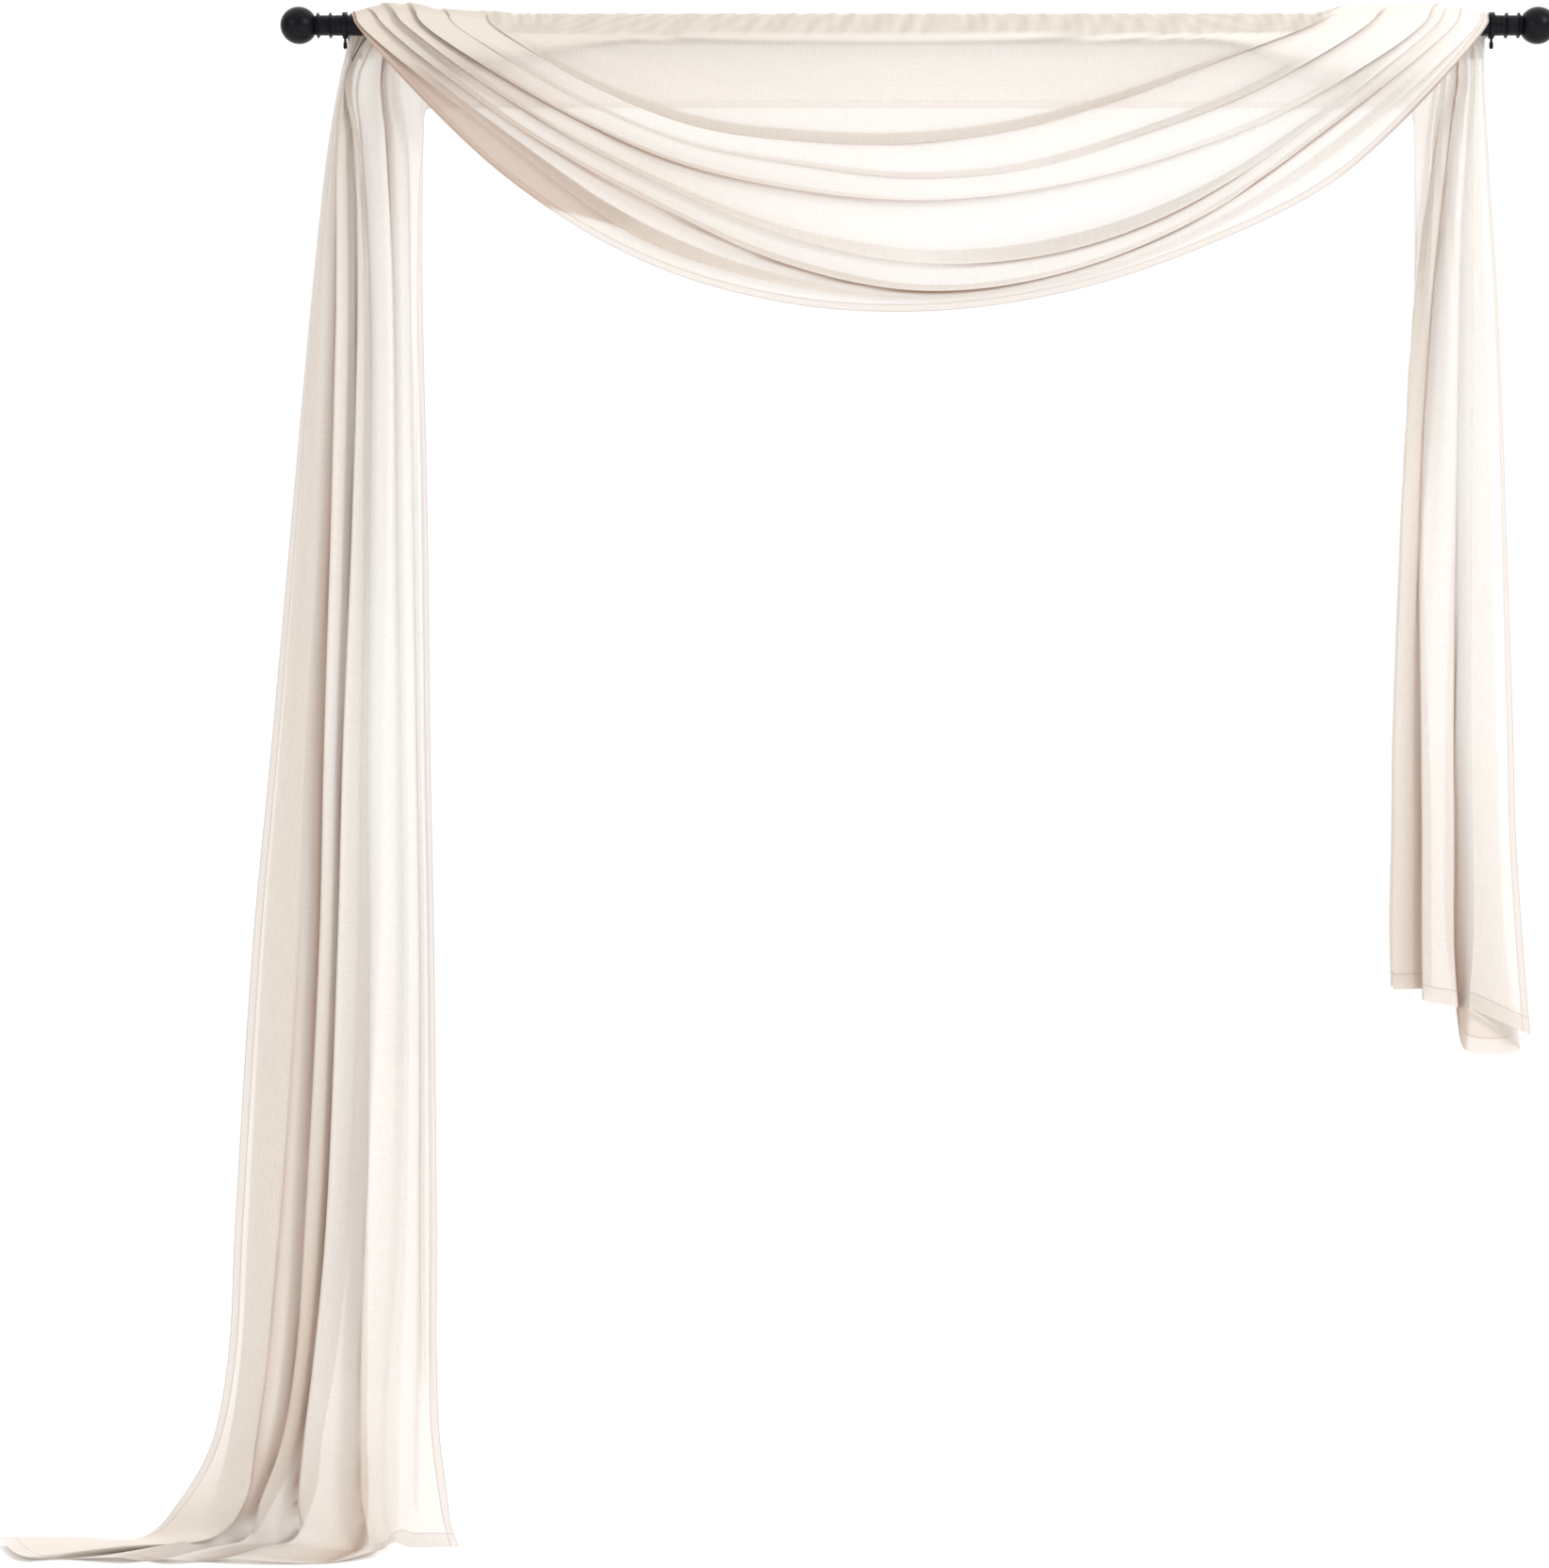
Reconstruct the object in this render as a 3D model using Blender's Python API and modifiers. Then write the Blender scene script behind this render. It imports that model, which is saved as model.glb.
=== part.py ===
"""Swag and tail scarf drape on its curtain pole.

One sheer scarf is thrown over a black metal pole. Its left tail rises from the floor behind the
pole, crosses over the top, hangs in front as a swag of shingled folds, crosses back and falls as a
short right tail. The pole ends in ball finials and sits in two ring brackets.

Metres, +Z up. The wall is the plane y = 0 and the room lies toward -Y. The origin is on the back of
the left bracket's wall plate, level with the pole's axis. Tables are in millimetres.
"""

import bpy
import bmesh
import numpy as np

MM = 0.001

# ---- pole and fittings ----
POLE_RADIUS = 14 * MM
POLE_FROM_WALL = 120 * MM  # wall to the pole's axis
BRACKET_SPAN = 1581 * MM  # left bracket to right bracket
SLEEVE_START = 12 * MM  # bracket's centre to the end of a finial's sleeve
BALL_FROM_BRACKET = 64 * MM
BALL_RADIUS = 25.5 * MM
FINIAL_RINGS_FROM_BRACKET = (20 * MM, 37 * MM)
RING_RADIUS = 18 * MM  # the finials' raised rings and the brackets' collars
RING_HALF_WIDTH = 1.6 * MM
COLLAR_WIDTH = 6 * MM
SEAT_GAP = 0.3 * MM  # between pieces that touch
ARM_WIDTH = 6 * MM
ARM_HEIGHT = 12 * MM
PLATE_WIDTH = 20 * MM
PLATE_HEIGHT = 44 * MM
PLATE_THICKNESS = 4 * MM
SCREW_RADIUS = 1.8 * MM
SCREW_HEAD_RADIUS = 2.7 * MM
SCREW_SHANK = 5 * MM
SCREW_LENGTH = 14 * MM
TURNED_STEPS = 28
ARC_POINTS = 12  # points along a ball's profile

# ---- scarf ----
CLOTH_THICKNESS = 1.0 * MM
WRAP_RADIUS = 15.5 * MM  # cloth's middle where it lies on the pole
FLOOR_DROP = 2110 * MM  # pole's axis to the floor
FLAP_DROP = 111 * MM  # pole's axis to the scarf's upper edge, hanging behind the pole
WRAP_STEPS = 6  # the cloth turns round the pole in this many flats
WRAP_ANGLES = np.linspace(0.0, np.pi, WRAP_STEPS + 1)  # from the pole's front to its back

# A lip is the lower edge of a swag fold, and a back crease in the tails. Lips are named from the
# scarf's outer edge (the swag's hem) up to the topmost fold. Behind each lip lies its tuck.
LIPS = ("edge", "hem_roll", "low", "second", "third", "soft", "top")
FOLDS = LIPS[1:]


def shares(text):
    """Rows of a written table as arrays, keyed by each row's name. Its first line names columns."""
    rows = [line.split() for line in text.strip().splitlines()[1:]]
    return {row[0]: np.array(row[1:], float) for row in rows}


def table(text):
    """The same, for a table written in millimetres."""
    return {name: row * MM for name, row in shares(text).items()}


# Where each lip crosses the pole (behind, on top, in front) at both ends.
CROSSINGS = table("""
line      left_back left_top left_front right_front right_top right_back
edge          6.5      6.5      15         1574       1576      1576
hem_roll     12       10.5      20         1560       1567      1568
low          20       28        52         1528       1541      1555
second       31       50        80         1503       1522      1541
third        46       85       106         1485       1506      1527
soft         66      132       150         1411       1446      1514
top          96      188       201         1340       1392      1500
""")

# How far each lip hangs below the pole's axis, at eighths of its way from left to right.
SWAG_DROPS = table("""
line       1/8  2/8  3/8  4/8  5/8  6/8  7/8
edge       202  325  384  397  371  307  205
hem_roll   157  296  359  382  359  293  176
low        144  250  333  371  350  279  154
second     128  225  298  333  321  260  144
third      112  192  232  247  229  185  115
soft        98  165  196  215  203  156   94
top         88  144  164  168  150  111   56
""")

# How far each lip and its tuck stand out from the cloth on the pole.
STAND_OUT = table("""
line      left_lip left_tuck middle_lip middle_tuck right_lip right_tuck
edge        0.3      0           4          4          0.6       0
hem_roll    3.5      0.3        10          4          6         0.8
low         8        3          26          4          9         4
second     15        4          28          4         10         3
third      15.5      5          26          4         14.5       4
soft       12.5      3.5        18          4         14         3.5
top         9.5      2.5        15          4         11         3.5
""")

# Left tail: each crease's place along the pole at levels below the pole's axis. The inner edge is
# the scarf's upper edge.
LEFT_LEVELS = np.array((67, 152, 349, 677, 1005, 1267, 1660, 1844, 1962, 2041)) * MM
LEFT_TAIL = table("""
line        67  152  349  677 1005 1267 1660 1844 1962 2041
edge       -11  -26  -48  -77 -106 -131 -156 -166 -190 -234
hem_roll    -5  -19  -38  -64  -86 -106 -127 -142 -158 -178
low          1  -12  -24  -34  -45  -55  -82  -96 -111 -127
second      11    4    2    2  -10  -19  -32  -37  -66  -77
third       24   20   23   27   28   29   22    8   -9  -23
soft        43   56   61   66   71   77   71   70   58   49
top         72   82   86   91   96  100  100   99   94   88
inner      110  106  104  111  115  120  124  124  128  137
""")

# Left tail on the floor: place along the pole and distance toward the wall from the pole's axis,
# where the cloth turns onto the floor and at the hem.
LEFT_POOL = table("""
line      turn_x turn_y hem_x hem_y
edge       -283    60    -470   66
hem_roll   -218    62    -377  -30
low        -158    66    -280  -38
second     -102    60    -166  -42
third       -29    50     -64  -42
soft         42    30       9  -35
top          90    48      84   46
inner       140    52     152   52
""")

# Right tail, in the same way, with the level of the hem in its last column.
RIGHT_LEVELS = np.array((67, 126, 227, 349, 559, 742, 986, 1109, 1254)) * MM
RIGHT_TAIL = table("""
line        67  126  227  349  559  742  986 1109 1254  hem hem_level
edge      1575 1578 1583 1591 1600 1606 1614 1617 1626 1637   1388
hem_roll  1570 1572 1575 1580 1586 1590 1596 1600 1608 1630   1414
low       1561 1558 1553 1547 1540 1536 1534 1537 1535 1537   1366
second    1546 1536 1524 1509 1494 1487 1482 1482 1480 1480   1345
third     1532 1524 1514 1502 1488 1481 1475 1474 1471 1473   1331
soft      1518 1510 1502 1494 1480 1473 1465 1465 1462 1464   1330
top       1508 1501 1493 1487 1475 1468 1459 1458 1455 1457   1330
inner     1478 1481 1481 1477 1467 1460 1450 1449 1445 1448   1330
""")

# Depth of the tails behind the pole's axis: the middle of the pleats and how far they swing to
# each side of it, at a few levels.
TAIL_DEPTH_LEVELS = np.array((0, 67, 152, 349, 677, 1267, 1844, 2041)) * MM
TAIL_MIDDLE = np.array((15.5, 29, 36, 41, 44, 46, 44, 46)) * MM
TAIL_SWING = np.array((0, 9, 15, 22, 27, 30, 32, 27)) * MM

# Share of that swing that each crease (toward the wall) and each ridge (toward the room, under 0)
# takes in the two tails, so that no two pleats match. The flat part next to the inner edge keeps
# one depth.
PLEAT_DEPTHS = shares("""
line      left_crease left_ridge right_crease right_ridge
edge         0.0        0.0        -0.75        -0.75
hem_roll     0.35      -0.6         0.35        -1.0
low          1.0       -0.9         1.0         -0.05
second       0.75      -1.0         0.75        -1.0
third        0.85      -0.8         0.7         -0.6
soft         0.7       -1.0         0.6         -0.45
top          0.3       -0.5         0.3         -0.25
flat         0.0        0.0         0.4          0.4
""")

# The lines that lie along the pole between the brackets, from its front to its back, and the inner
# edge of the flap behind it: their places where the other lines cross the pole.
POLE_CROSSINGS = table("""
line     left_back left_top left_front right_front right_top right_back
front       103      235      262         1298      1355      1493
back        128      258      300         1258      1322      1468
inner       122      168      232         1345      1420      1462
""")
FLAP_TURN = 4  # how sharply the flap's lower edge turns down into a tail

# Height of the cloth's middle over the floor at the hem, half way to the turn and at the turn.
POOL_HEIGHTS = {
    "crease": np.array((0.6, 0.6, 5)) * MM,
    "ridge": np.array((8, 13, 20)) * MM,
    "edge": np.array((11, 12, 14)) * MM,
    "flat": np.array((0.6, 16, 36)) * MM,
}
RIDGE_FORWARD = 26 * MM  # how far a pleat's ridge runs ahead of its creases on the floor

# Share of the way from its lip to a neighbour at which a fold's tuck lies: over 0 it lies behind
# the next lip in, as in the swag, and under 0 between its crease and the next one out. The right
# tail's outer layer lies over the next pleat.
LAPS = shares("""
line      left_tail left_back swag right_back right_tail
hem_roll    -0.5      -0.3    0.45    0.7        0.75
low         -0.5      -0.5    0.5    -0.3       -0.4
second      -0.5      -0.5    0.45   -0.5       -0.5
third       -0.5      -0.5    0.25   -0.5       -0.5
soft        -0.5      -0.5    0.3    -0.5       -0.5
top         -0.5      -0.5    0.15   -0.6       -0.6
""")

# Flats between neighbouring lines across the scarf, and between neighbouring stations along it.
ACROSS = (3, 2) + (2, 2) + (3, 2) * 4 + (3,) + (1,) * WRAP_STEPS + (2,)
ALONG = (3, 2, 2, 1, 1, 1, 2, 1, 2, 2, 1, 1, 1) + (1,) * 6 + (3,) + (2,) * 6 + (3,) + (1,) * 6
ALONG = ALONG + (1, 1, 1, 1, 2, 1, 2, 1, 1, 2)


def spline(points, counts):
    """Centripetal Catmull-Rom curve through points[:, key], each span cut into counts[key] steps."""
    first = 2 * points[:, :1] - points[:, 1:2]
    last = 2 * points[:, -1:] - points[:, -2:-1]
    p = np.concatenate((first, points, last), axis=1)
    gap = np.sqrt(np.linalg.norm(np.diff(p, axis=1), axis=2, keepdims=True)) + 1e-9
    pieces = []
    for key, count in enumerate(counts):
        a, b, c, d = (p[:, key + step] for step in range(4))
        before, here, after = (gap[:, key + step] for step in range(3))
        leave = here * ((b - a) / before - (c - a) / (before + here) + (c - b) / here)
        arrive = here * ((c - b) / here - (d - b) / (here + after) + (d - c) / after)
        u = (np.arange(count) / count)[None, :, None]
        curve = (
            (2 * u**3 - 3 * u**2 + 1) * b[:, None]
            + (u**3 - 2 * u**2 + u) * leave[:, None]
            + (3 * u**2 - 2 * u**3) * c[:, None]
            + (u**3 - u**2) * arrive[:, None]
        )
        pieces.append(curve)
    pieces.append(points[:, -1:])
    return np.concatenate(pieces, axis=1)


def around_pole(x, angle, stand_out):
    """Points on the pole's skin: angle 0 in front, a quarter turn on top, a half turn behind."""
    radius = WRAP_RADIUS + stand_out
    y = -POLE_FROM_WALL - radius * np.cos(angle)
    z = radius * np.sin(angle)
    return np.stack(np.broadcast_arrays(x, y, z), axis=-1)


def swag_points(x, z, stand_out):
    """Points hanging in front of the pole."""
    y = -POLE_FROM_WALL - WRAP_RADIUS - stand_out
    return np.stack(np.broadcast_arrays(x, y, z), axis=-1)


def tail_points(x, z, share):
    """Points down a tail: share -1 is a pleat's front ridge, +1 its back crease."""
    middle = np.interp(-z, TAIL_DEPTH_LEVELS, TAIL_MIDDLE)
    swing = np.interp(-z, TAIL_DEPTH_LEVELS, TAIL_SWING)
    y = -POLE_FROM_WALL + middle + swing * share
    return np.stack(np.broadcast_arrays(x, y, z), axis=-1)


def between(here, inward, outward, lap):
    """Values part of the way to the next lip in (lap over 0) or to the next lip out (under 0)."""
    return here + np.where(lap > 0, lap * (inward - here), -lap * (outward - here))


def neighbours(rows, name, innermost):
    """A lip's row with the rows of the next line in and of the next lip out."""
    at = LIPS.index(name)
    inward = rows[LIPS[at + 1]] if at + 1 < len(LIPS) else innermost
    return rows[name], inward, rows[LIPS[at - 1]]


def crossing_track(row):
    """Places at each flat of the turn over the pole, at both ends, left back to front to right back."""
    back_to_front = WRAP_ANGLES[::-1]
    left = np.interp(back_to_front, (0, np.pi / 2, np.pi), row[2::-1])
    right = np.interp(WRAP_ANGLES, (0, np.pi / 2, np.pi), row[3:])
    return left, right


def wrap_region(name, tuck):
    """A lip's or tuck's points where it turns over the pole, left end and right end."""
    row, inward, outward = neighbours(CROSSINGS, name, POLE_CROSSINGS["front"])
    stand = STAND_OUT[name]
    ends = []
    for end in range(2):
        x = crossing_track(row)[end]
        angle = WRAP_ANGLES[::-1] if end == 0 else WRAP_ANGLES
        if tuck:
            first, last = LAPS[name][1 + end : 3 + end]
            lap = np.linspace(first, last, WRAP_STEPS + 1)
            x = between(x, crossing_track(inward)[end], crossing_track(outward)[end], lap)
        ends.append(around_pole(x, angle, stand[4 * end + tuck]))
    return ends


SWAG_STOPS = np.linspace(0, 1, 9)[1:-1]


def swag_region(name, tuck):
    """A lip's or tuck's points along the swag, between the two turns over the pole."""

    def track(row_name):
        left, right = CROSSINGS[row_name][2:4]
        return left + (right - left) * SWAG_STOPS, -SWAG_DROPS[row_name]

    x, z = track(name)
    stand = STAND_OUT[name]
    out = np.interp(SWAG_STOPS, (0, 0.25, 0.75, 1), stand[[tuck, 2 + tuck, 2 + tuck, 4 + tuck]])
    if tuck:
        at = LIPS.index(name)
        if at + 1 < len(LIPS):
            next_x, next_z = track(LIPS[at + 1])
        else:
            left, right = POLE_CROSSINGS["front"][2:4]
            next_x, next_z = left + (right - left) * SWAG_STOPS, 0 * z
        lap = LAPS[name][2]
        x = between(x, next_x, x, lap)
        z = between(z, next_z, z, lap)
    return swag_points(x, z, out)


def left_tail_region(name, tuck):
    """A lip's or tuck's points from the left hem on the floor up to just below the pole."""
    x, inward, outward = neighbours(LEFT_TAIL, name, LEFT_TAIL["inner"])
    pool, pool_in, pool_out = neighbours(LEFT_POOL, name, LEFT_POOL["inner"])
    kind = {LIPS[0]: "edge", LIPS[-1]: "flat"}.get(name, "crease")
    if tuck:
        lap = LAPS[name][0]
        x = between(x, inward, outward, lap)
        pool = between(pool, pool_in, pool_out, lap) - np.array((0, 0.5, 0, 1)) * RIDGE_FORWARD
        kind = "ridge"
    hanging = tail_points(x, -LEFT_LEVELS, PLEAT_DEPTHS[name][tuck])[::-1]
    return np.concatenate((pool_points(pool, kind), hanging))


def pool_points(pool, kind):
    """A line's hem, its middle on the floor and its turn up from the floor."""
    turn = np.array((*pool[:2], 0))
    hem = np.array((*pool[2:], 0))
    points = np.stack((hem, (hem + turn) / 2, turn))
    points[:, 1] -= POLE_FROM_WALL
    points[:, 2] = POOL_HEIGHTS[kind] - FLOOR_DROP
    return points


def right_tail_region(name, tuck):
    """A lip's or tuck's points from just below the pole down to the right hem."""
    row, inward, outward = neighbours(RIGHT_TAIL, name, RIGHT_TAIL["inner"])
    if tuck:
        row = between(row, inward, outward, LAPS[name][4])
    z = -np.append(RIGHT_LEVELS, row[-1])
    return tail_points(row[:-1], z, PLEAT_DEPTHS[name][2 + tuck])


def fold_line(name, tuck):
    """The whole length of a lip or a tuck, from the left hem to the right hem."""
    left_wrap, right_wrap = wrap_region(name, tuck)
    return np.concatenate(
        (
            left_tail_region(name, tuck),
            left_wrap,
            swag_region(name, tuck),
            right_wrap,
            right_tail_region(name, tuck),
        )
    )


def inner_levels(levels):
    """Levels of the inner edge, which turns out of the flap's level into each tail."""
    return (levels**FLAP_TURN + FLAP_DROP**FLAP_TURN) ** (1 / FLAP_TURN)


def pole_line(step):
    """A line that lies along the pole at one of the wrap's angles and runs down flat in the tails."""
    share = (step + 1) / (WRAP_STEPS + 2)
    across = step / WRAP_STEPS
    row = (1 - across) * POLE_CROSSINGS["front"] + across * POLE_CROSSINGS["back"]
    left_x, right_x = crossing_track(row)
    angle = WRAP_ANGLES[step]
    swag_x = row[2] + (row[3] - row[2]) * SWAG_STOPS
    left = between(LEFT_TAIL["top"], LEFT_TAIL["inner"], 0, share)
    pool = between(LEFT_POOL["top"], LEFT_POOL["inner"], 0, share)
    right = between(RIGHT_TAIL["top"], RIGHT_TAIL["inner"], 0, share)
    right_z = -np.append(RIGHT_LEVELS, right[-1])
    return np.concatenate(
        (
            pool_points(pool, "flat"),
            tail_points(left, -LEFT_LEVELS, PLEAT_DEPTHS["flat"][0])[::-1],
            around_pole(left_x, np.maximum(WRAP_ANGLES[::-1], angle), 0),
            around_pole(swag_x, angle, 0),
            around_pole(right_x, np.maximum(WRAP_ANGLES, angle), 0),
            tail_points(right[:-1], right_z, PLEAT_DEPTHS["flat"][2]),
        )
    )


def inner_line():
    """The scarf's upper edge: up the left tail, along the flap behind the pole, down the right."""
    row = POLE_CROSSINGS["inner"]
    left_x, right_x = crossing_track(row)
    swag_x = row[2] + (row[3] - row[2]) * SWAG_STOPS
    flap_x = np.concatenate((left_x, swag_x, right_x))
    right = RIGHT_TAIL["inner"]
    right_z = -np.append(inner_levels(RIGHT_LEVELS), right[-1])
    flap = np.stack(
        np.broadcast_arrays(flap_x, -POLE_FROM_WALL + WRAP_RADIUS, -FLAP_DROP), axis=-1
    )
    return np.concatenate(
        (
            pool_points(LEFT_POOL["inner"], "flat"),
            tail_points(LEFT_TAIL["inner"], -inner_levels(LEFT_LEVELS), PLEAT_DEPTHS["flat"][0])[::-1],
            flap,
            tail_points(right[:-1], right_z, PLEAT_DEPTHS["flat"][2]),
        )
    )


def scarf_surface():
    """Grid of points over the scarf: lines from the outer to the inner edge, stations along it."""
    lines = [fold_line(LIPS[0], 0)]
    for name in FOLDS:
        lines.append(fold_line(name, 1))
        lines.append(fold_line(name, 0))
    lines.extend(pole_line(step) for step in range(WRAP_STEPS + 1))
    lines.append(inner_line())
    along = spline(np.stack(lines), ALONG)
    return spline(along.transpose(1, 0, 2), ACROSS)


def grid_mesh(name, points):
    """A sheet of four-sided faces over a grid of points [row, column, xyz]."""
    rows, columns = points.shape[:2]
    index = np.arange(rows * columns).reshape(rows, columns)
    corners = (index[:-1, :-1], index[:-1, 1:], index[1:, 1:], index[1:, :-1])
    faces = np.stack(corners, axis=-1).reshape(-1, 4)
    mesh = bpy.data.meshes.new(name)
    mesh.from_pydata(points.reshape(-1, 3).tolist(), [], faces.tolist())
    return mesh


def clear_scene():
    """Empty the scene of objects."""
    for found in list(bpy.data.objects):
        bpy.data.objects.remove(found, do_unlink=True)


def material(name, colour, roughness, metallic=0.0):
    """A plain Principled material."""
    made = bpy.data.materials.new(name)
    made.use_nodes = True
    shader = made.node_tree.nodes["Principled BSDF"]
    shader.inputs["Base Color"].default_value = (*colour, 1.0)
    shader.inputs["Roughness"].default_value = roughness
    shader.inputs["Metallic"].default_value = metallic
    made.diffuse_color = (*colour, 1.0)
    return made


def add_part(name, mesh, finish, collection):
    """A named object on a mesh, with its material."""
    part = bpy.data.objects.new(name, mesh)
    part.data.materials.append(finish)
    collection.objects.link(part)
    return part


def add_scarf(finish, collection):
    """The scarf: one sheet, thickened evenly to both sides."""
    mesh = grid_mesh("scarf", scarf_surface())
    mesh.shade_smooth()
    scarf = add_part("scarf", mesh, finish, collection)
    solidify = scarf.modifiers.new("thickness", "SOLIDIFY")
    solidify.thickness = CLOTH_THICKNESS
    solidify.offset = 0.0
    return scarf


def turned(name, profile, finish, collection):
    """A turned piece: its outline (radius, height), top to bottom, spun round the Z axis."""
    mesh = bpy.data.meshes.new(name)
    edges = [(at, at + 1) for at in range(len(profile) - 1)]
    mesh.from_pydata([(radius, 0.0, height) for radius, height in profile], edges, [])
    part = add_part(name, mesh, finish, collection)
    screw = part.modifiers.new("turning", "SCREW")
    screw.angle = 2 * np.pi
    screw.steps = TURNED_STEPS
    screw.render_steps = TURNED_STEPS
    screw.use_merge_vertices = True
    screw.merge_threshold = 0.01 * MM
    screw.use_smooth_shade = True
    return part


def finial_profile():
    """Ball, sleeve and raised rings, from the ball's outer pole to the sleeve's open end."""
    meet = np.arcsin(POLE_RADIUS / BALL_RADIUS)
    turn = np.linspace(0.0, np.pi - meet, ARC_POINTS)
    ball = [
        (BALL_RADIUS * np.sin(angle), BALL_FROM_BRACKET + BALL_RADIUS * np.cos(angle))
        for angle in turn
    ]
    rings = []
    for centre in sorted(FINIAL_RINGS_FROM_BRACKET, reverse=True):
        rings.append((POLE_RADIUS, centre + 2 * RING_HALF_WIDTH))
        rings.append((RING_RADIUS, centre + RING_HALF_WIDTH / 2))
        rings.append((RING_RADIUS, centre - RING_HALF_WIDTH / 2))
        rings.append((POLE_RADIUS, centre - 2 * RING_HALF_WIDTH))
    return [*ball, *rings, (POLE_RADIUS, SLEEVE_START), (0.0, SLEEVE_START)]


def add_finial(side, bracket_x, finish, collection):
    """A ball finial on the pole's end, pointing away from its bracket."""
    outward = -1 if side == "left" else 1
    finial = turned(f"finial_{side}", finial_profile(), finish, collection)
    finial.location = (bracket_x, -POLE_FROM_WALL, 0.0)
    finial.rotation_euler = (0.0, outward * np.pi / 2, 0.0)
    return finial


def add_pole(finish, collection):
    """The pole, from one finial's sleeve to the other's."""
    mesh = bpy.data.meshes.new("pole")
    built = bmesh.new()
    length = BRACKET_SPAN + 2 * (SLEEVE_START - SEAT_GAP)
    bmesh.ops.create_cone(
        built,
        cap_ends=True,
        segments=2 * TURNED_STEPS,
        radius1=POLE_RADIUS,
        radius2=POLE_RADIUS,
        depth=length,
    )
    built.to_mesh(mesh)
    built.free()
    mesh.shade_smooth()
    mesh.set_sharp_from_angle(angle=np.pi / 4)
    pole = add_part("pole", mesh, finish, collection)
    pole.location = (BRACKET_SPAN / 2, -POLE_FROM_WALL, 0.0)
    pole.rotation_euler = (0.0, np.pi / 2, 0.0)
    return pole


def block(name, size, centre, finish, collection):
    """A box of a given size about its centre."""
    mesh = bpy.data.meshes.new(name)
    built = bmesh.new()
    bmesh.ops.create_cube(built, size=1.0)
    bmesh.ops.scale(built, vec=size, verts=built.verts)
    built.to_mesh(mesh)
    built.free()
    part = add_part(name, mesh, finish, collection)
    part.location = centre
    return part


def add_bracket(side, bracket_x, finish, collection, cutters):
    """A wall bracket: a collar round the pole, a flat arm and a wall plate, joined."""
    inner = POLE_RADIUS + SEAT_GAP
    collar_profile = [
        (inner, COLLAR_WIDTH / 2),
        (RING_RADIUS, COLLAR_WIDTH / 2),
        (RING_RADIUS, -COLLAR_WIDTH / 2),
        (inner, -COLLAR_WIDTH / 2),
        (inner, COLLAR_WIDTH / 2),
    ]
    bracket = turned(f"bracket_{side}", collar_profile, finish, collection)
    bracket.location = (bracket_x, -POLE_FROM_WALL, 0.0)
    bracket.rotation_euler = (0.0, np.pi / 2, 0.0)
    arm_start = -POLE_FROM_WALL + (inner + RING_RADIUS) / 2
    arm_end = -PLATE_THICKNESS / 2
    arm = block(
        f"arm_{side}",
        (ARM_WIDTH, arm_end - arm_start, ARM_HEIGHT),
        (bracket_x, (arm_start + arm_end) / 2, 0.0),
        finish,
        cutters,
    )
    plate = block(
        f"plate_{side}",
        (PLATE_WIDTH, PLATE_THICKNESS, PLATE_HEIGHT),
        (bracket_x, -PLATE_THICKNESS / 2, 0.0),
        finish,
        cutters,
    )
    for piece in (arm, plate):
        piece.hide_render = True
        piece.display_type = "WIRE"
        join = bracket.modifiers.new(piece.name, "BOOLEAN")
        join.operation = "UNION"
        join.solver = "EXACT"
        join.object = piece
    return bracket


def add_set_screw(side, bracket_x, finish, collection):
    """The screw that hangs under a bracket's collar and holds the pole in it."""
    top = -RING_RADIUS - SEAT_GAP
    neck = top - SCREW_SHANK
    bottom = top - SCREW_LENGTH
    profile = [
        (0.0, top),
        (SCREW_RADIUS, top),
        (SCREW_RADIUS, neck),
        (SCREW_HEAD_RADIUS, neck - SCREW_RADIUS / 2),
        (SCREW_HEAD_RADIUS, bottom + SCREW_RADIUS),
        (SCREW_RADIUS, bottom),
        (0.0, bottom),
    ]
    screw = turned(f"screw_{side}", profile, finish, collection)
    screw.location = (bracket_x, -POLE_FROM_WALL, 0.0)
    return screw


def build():
    """Make every piece."""
    clear_scene()
    parts = bpy.data.collections.new("swag_and_tail_drape")
    cutters = bpy.data.collections.new("cutters")
    bpy.context.scene.collection.children.link(parts)
    bpy.context.scene.collection.children.link(cutters)
    voile = material("sheer_voile", (0.84, 0.78, 0.70), 0.85)
    black_metal = material("black_metal", (0.012, 0.012, 0.016), 0.35, 0.4)
    add_scarf(voile, parts)
    add_pole(black_metal, parts)
    for side, bracket_x in (("left", 0.0), ("right", BRACKET_SPAN)):
        add_finial(side, bracket_x, black_metal, parts)
        add_bracket(side, bracket_x, black_metal, parts, cutters)
        add_set_screw(side, bracket_x, black_metal, parts)


build()
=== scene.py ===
"""Swag and tail scarf drape on a black pole: its folds, turned fittings and finishes.

Metres, +Z up. The wall is the plane y = 0 and the room lies toward -Y. The origin is on the back of
the left bracket's plate, level with the pole's axis. Tables are in millimetres.
"""

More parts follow.
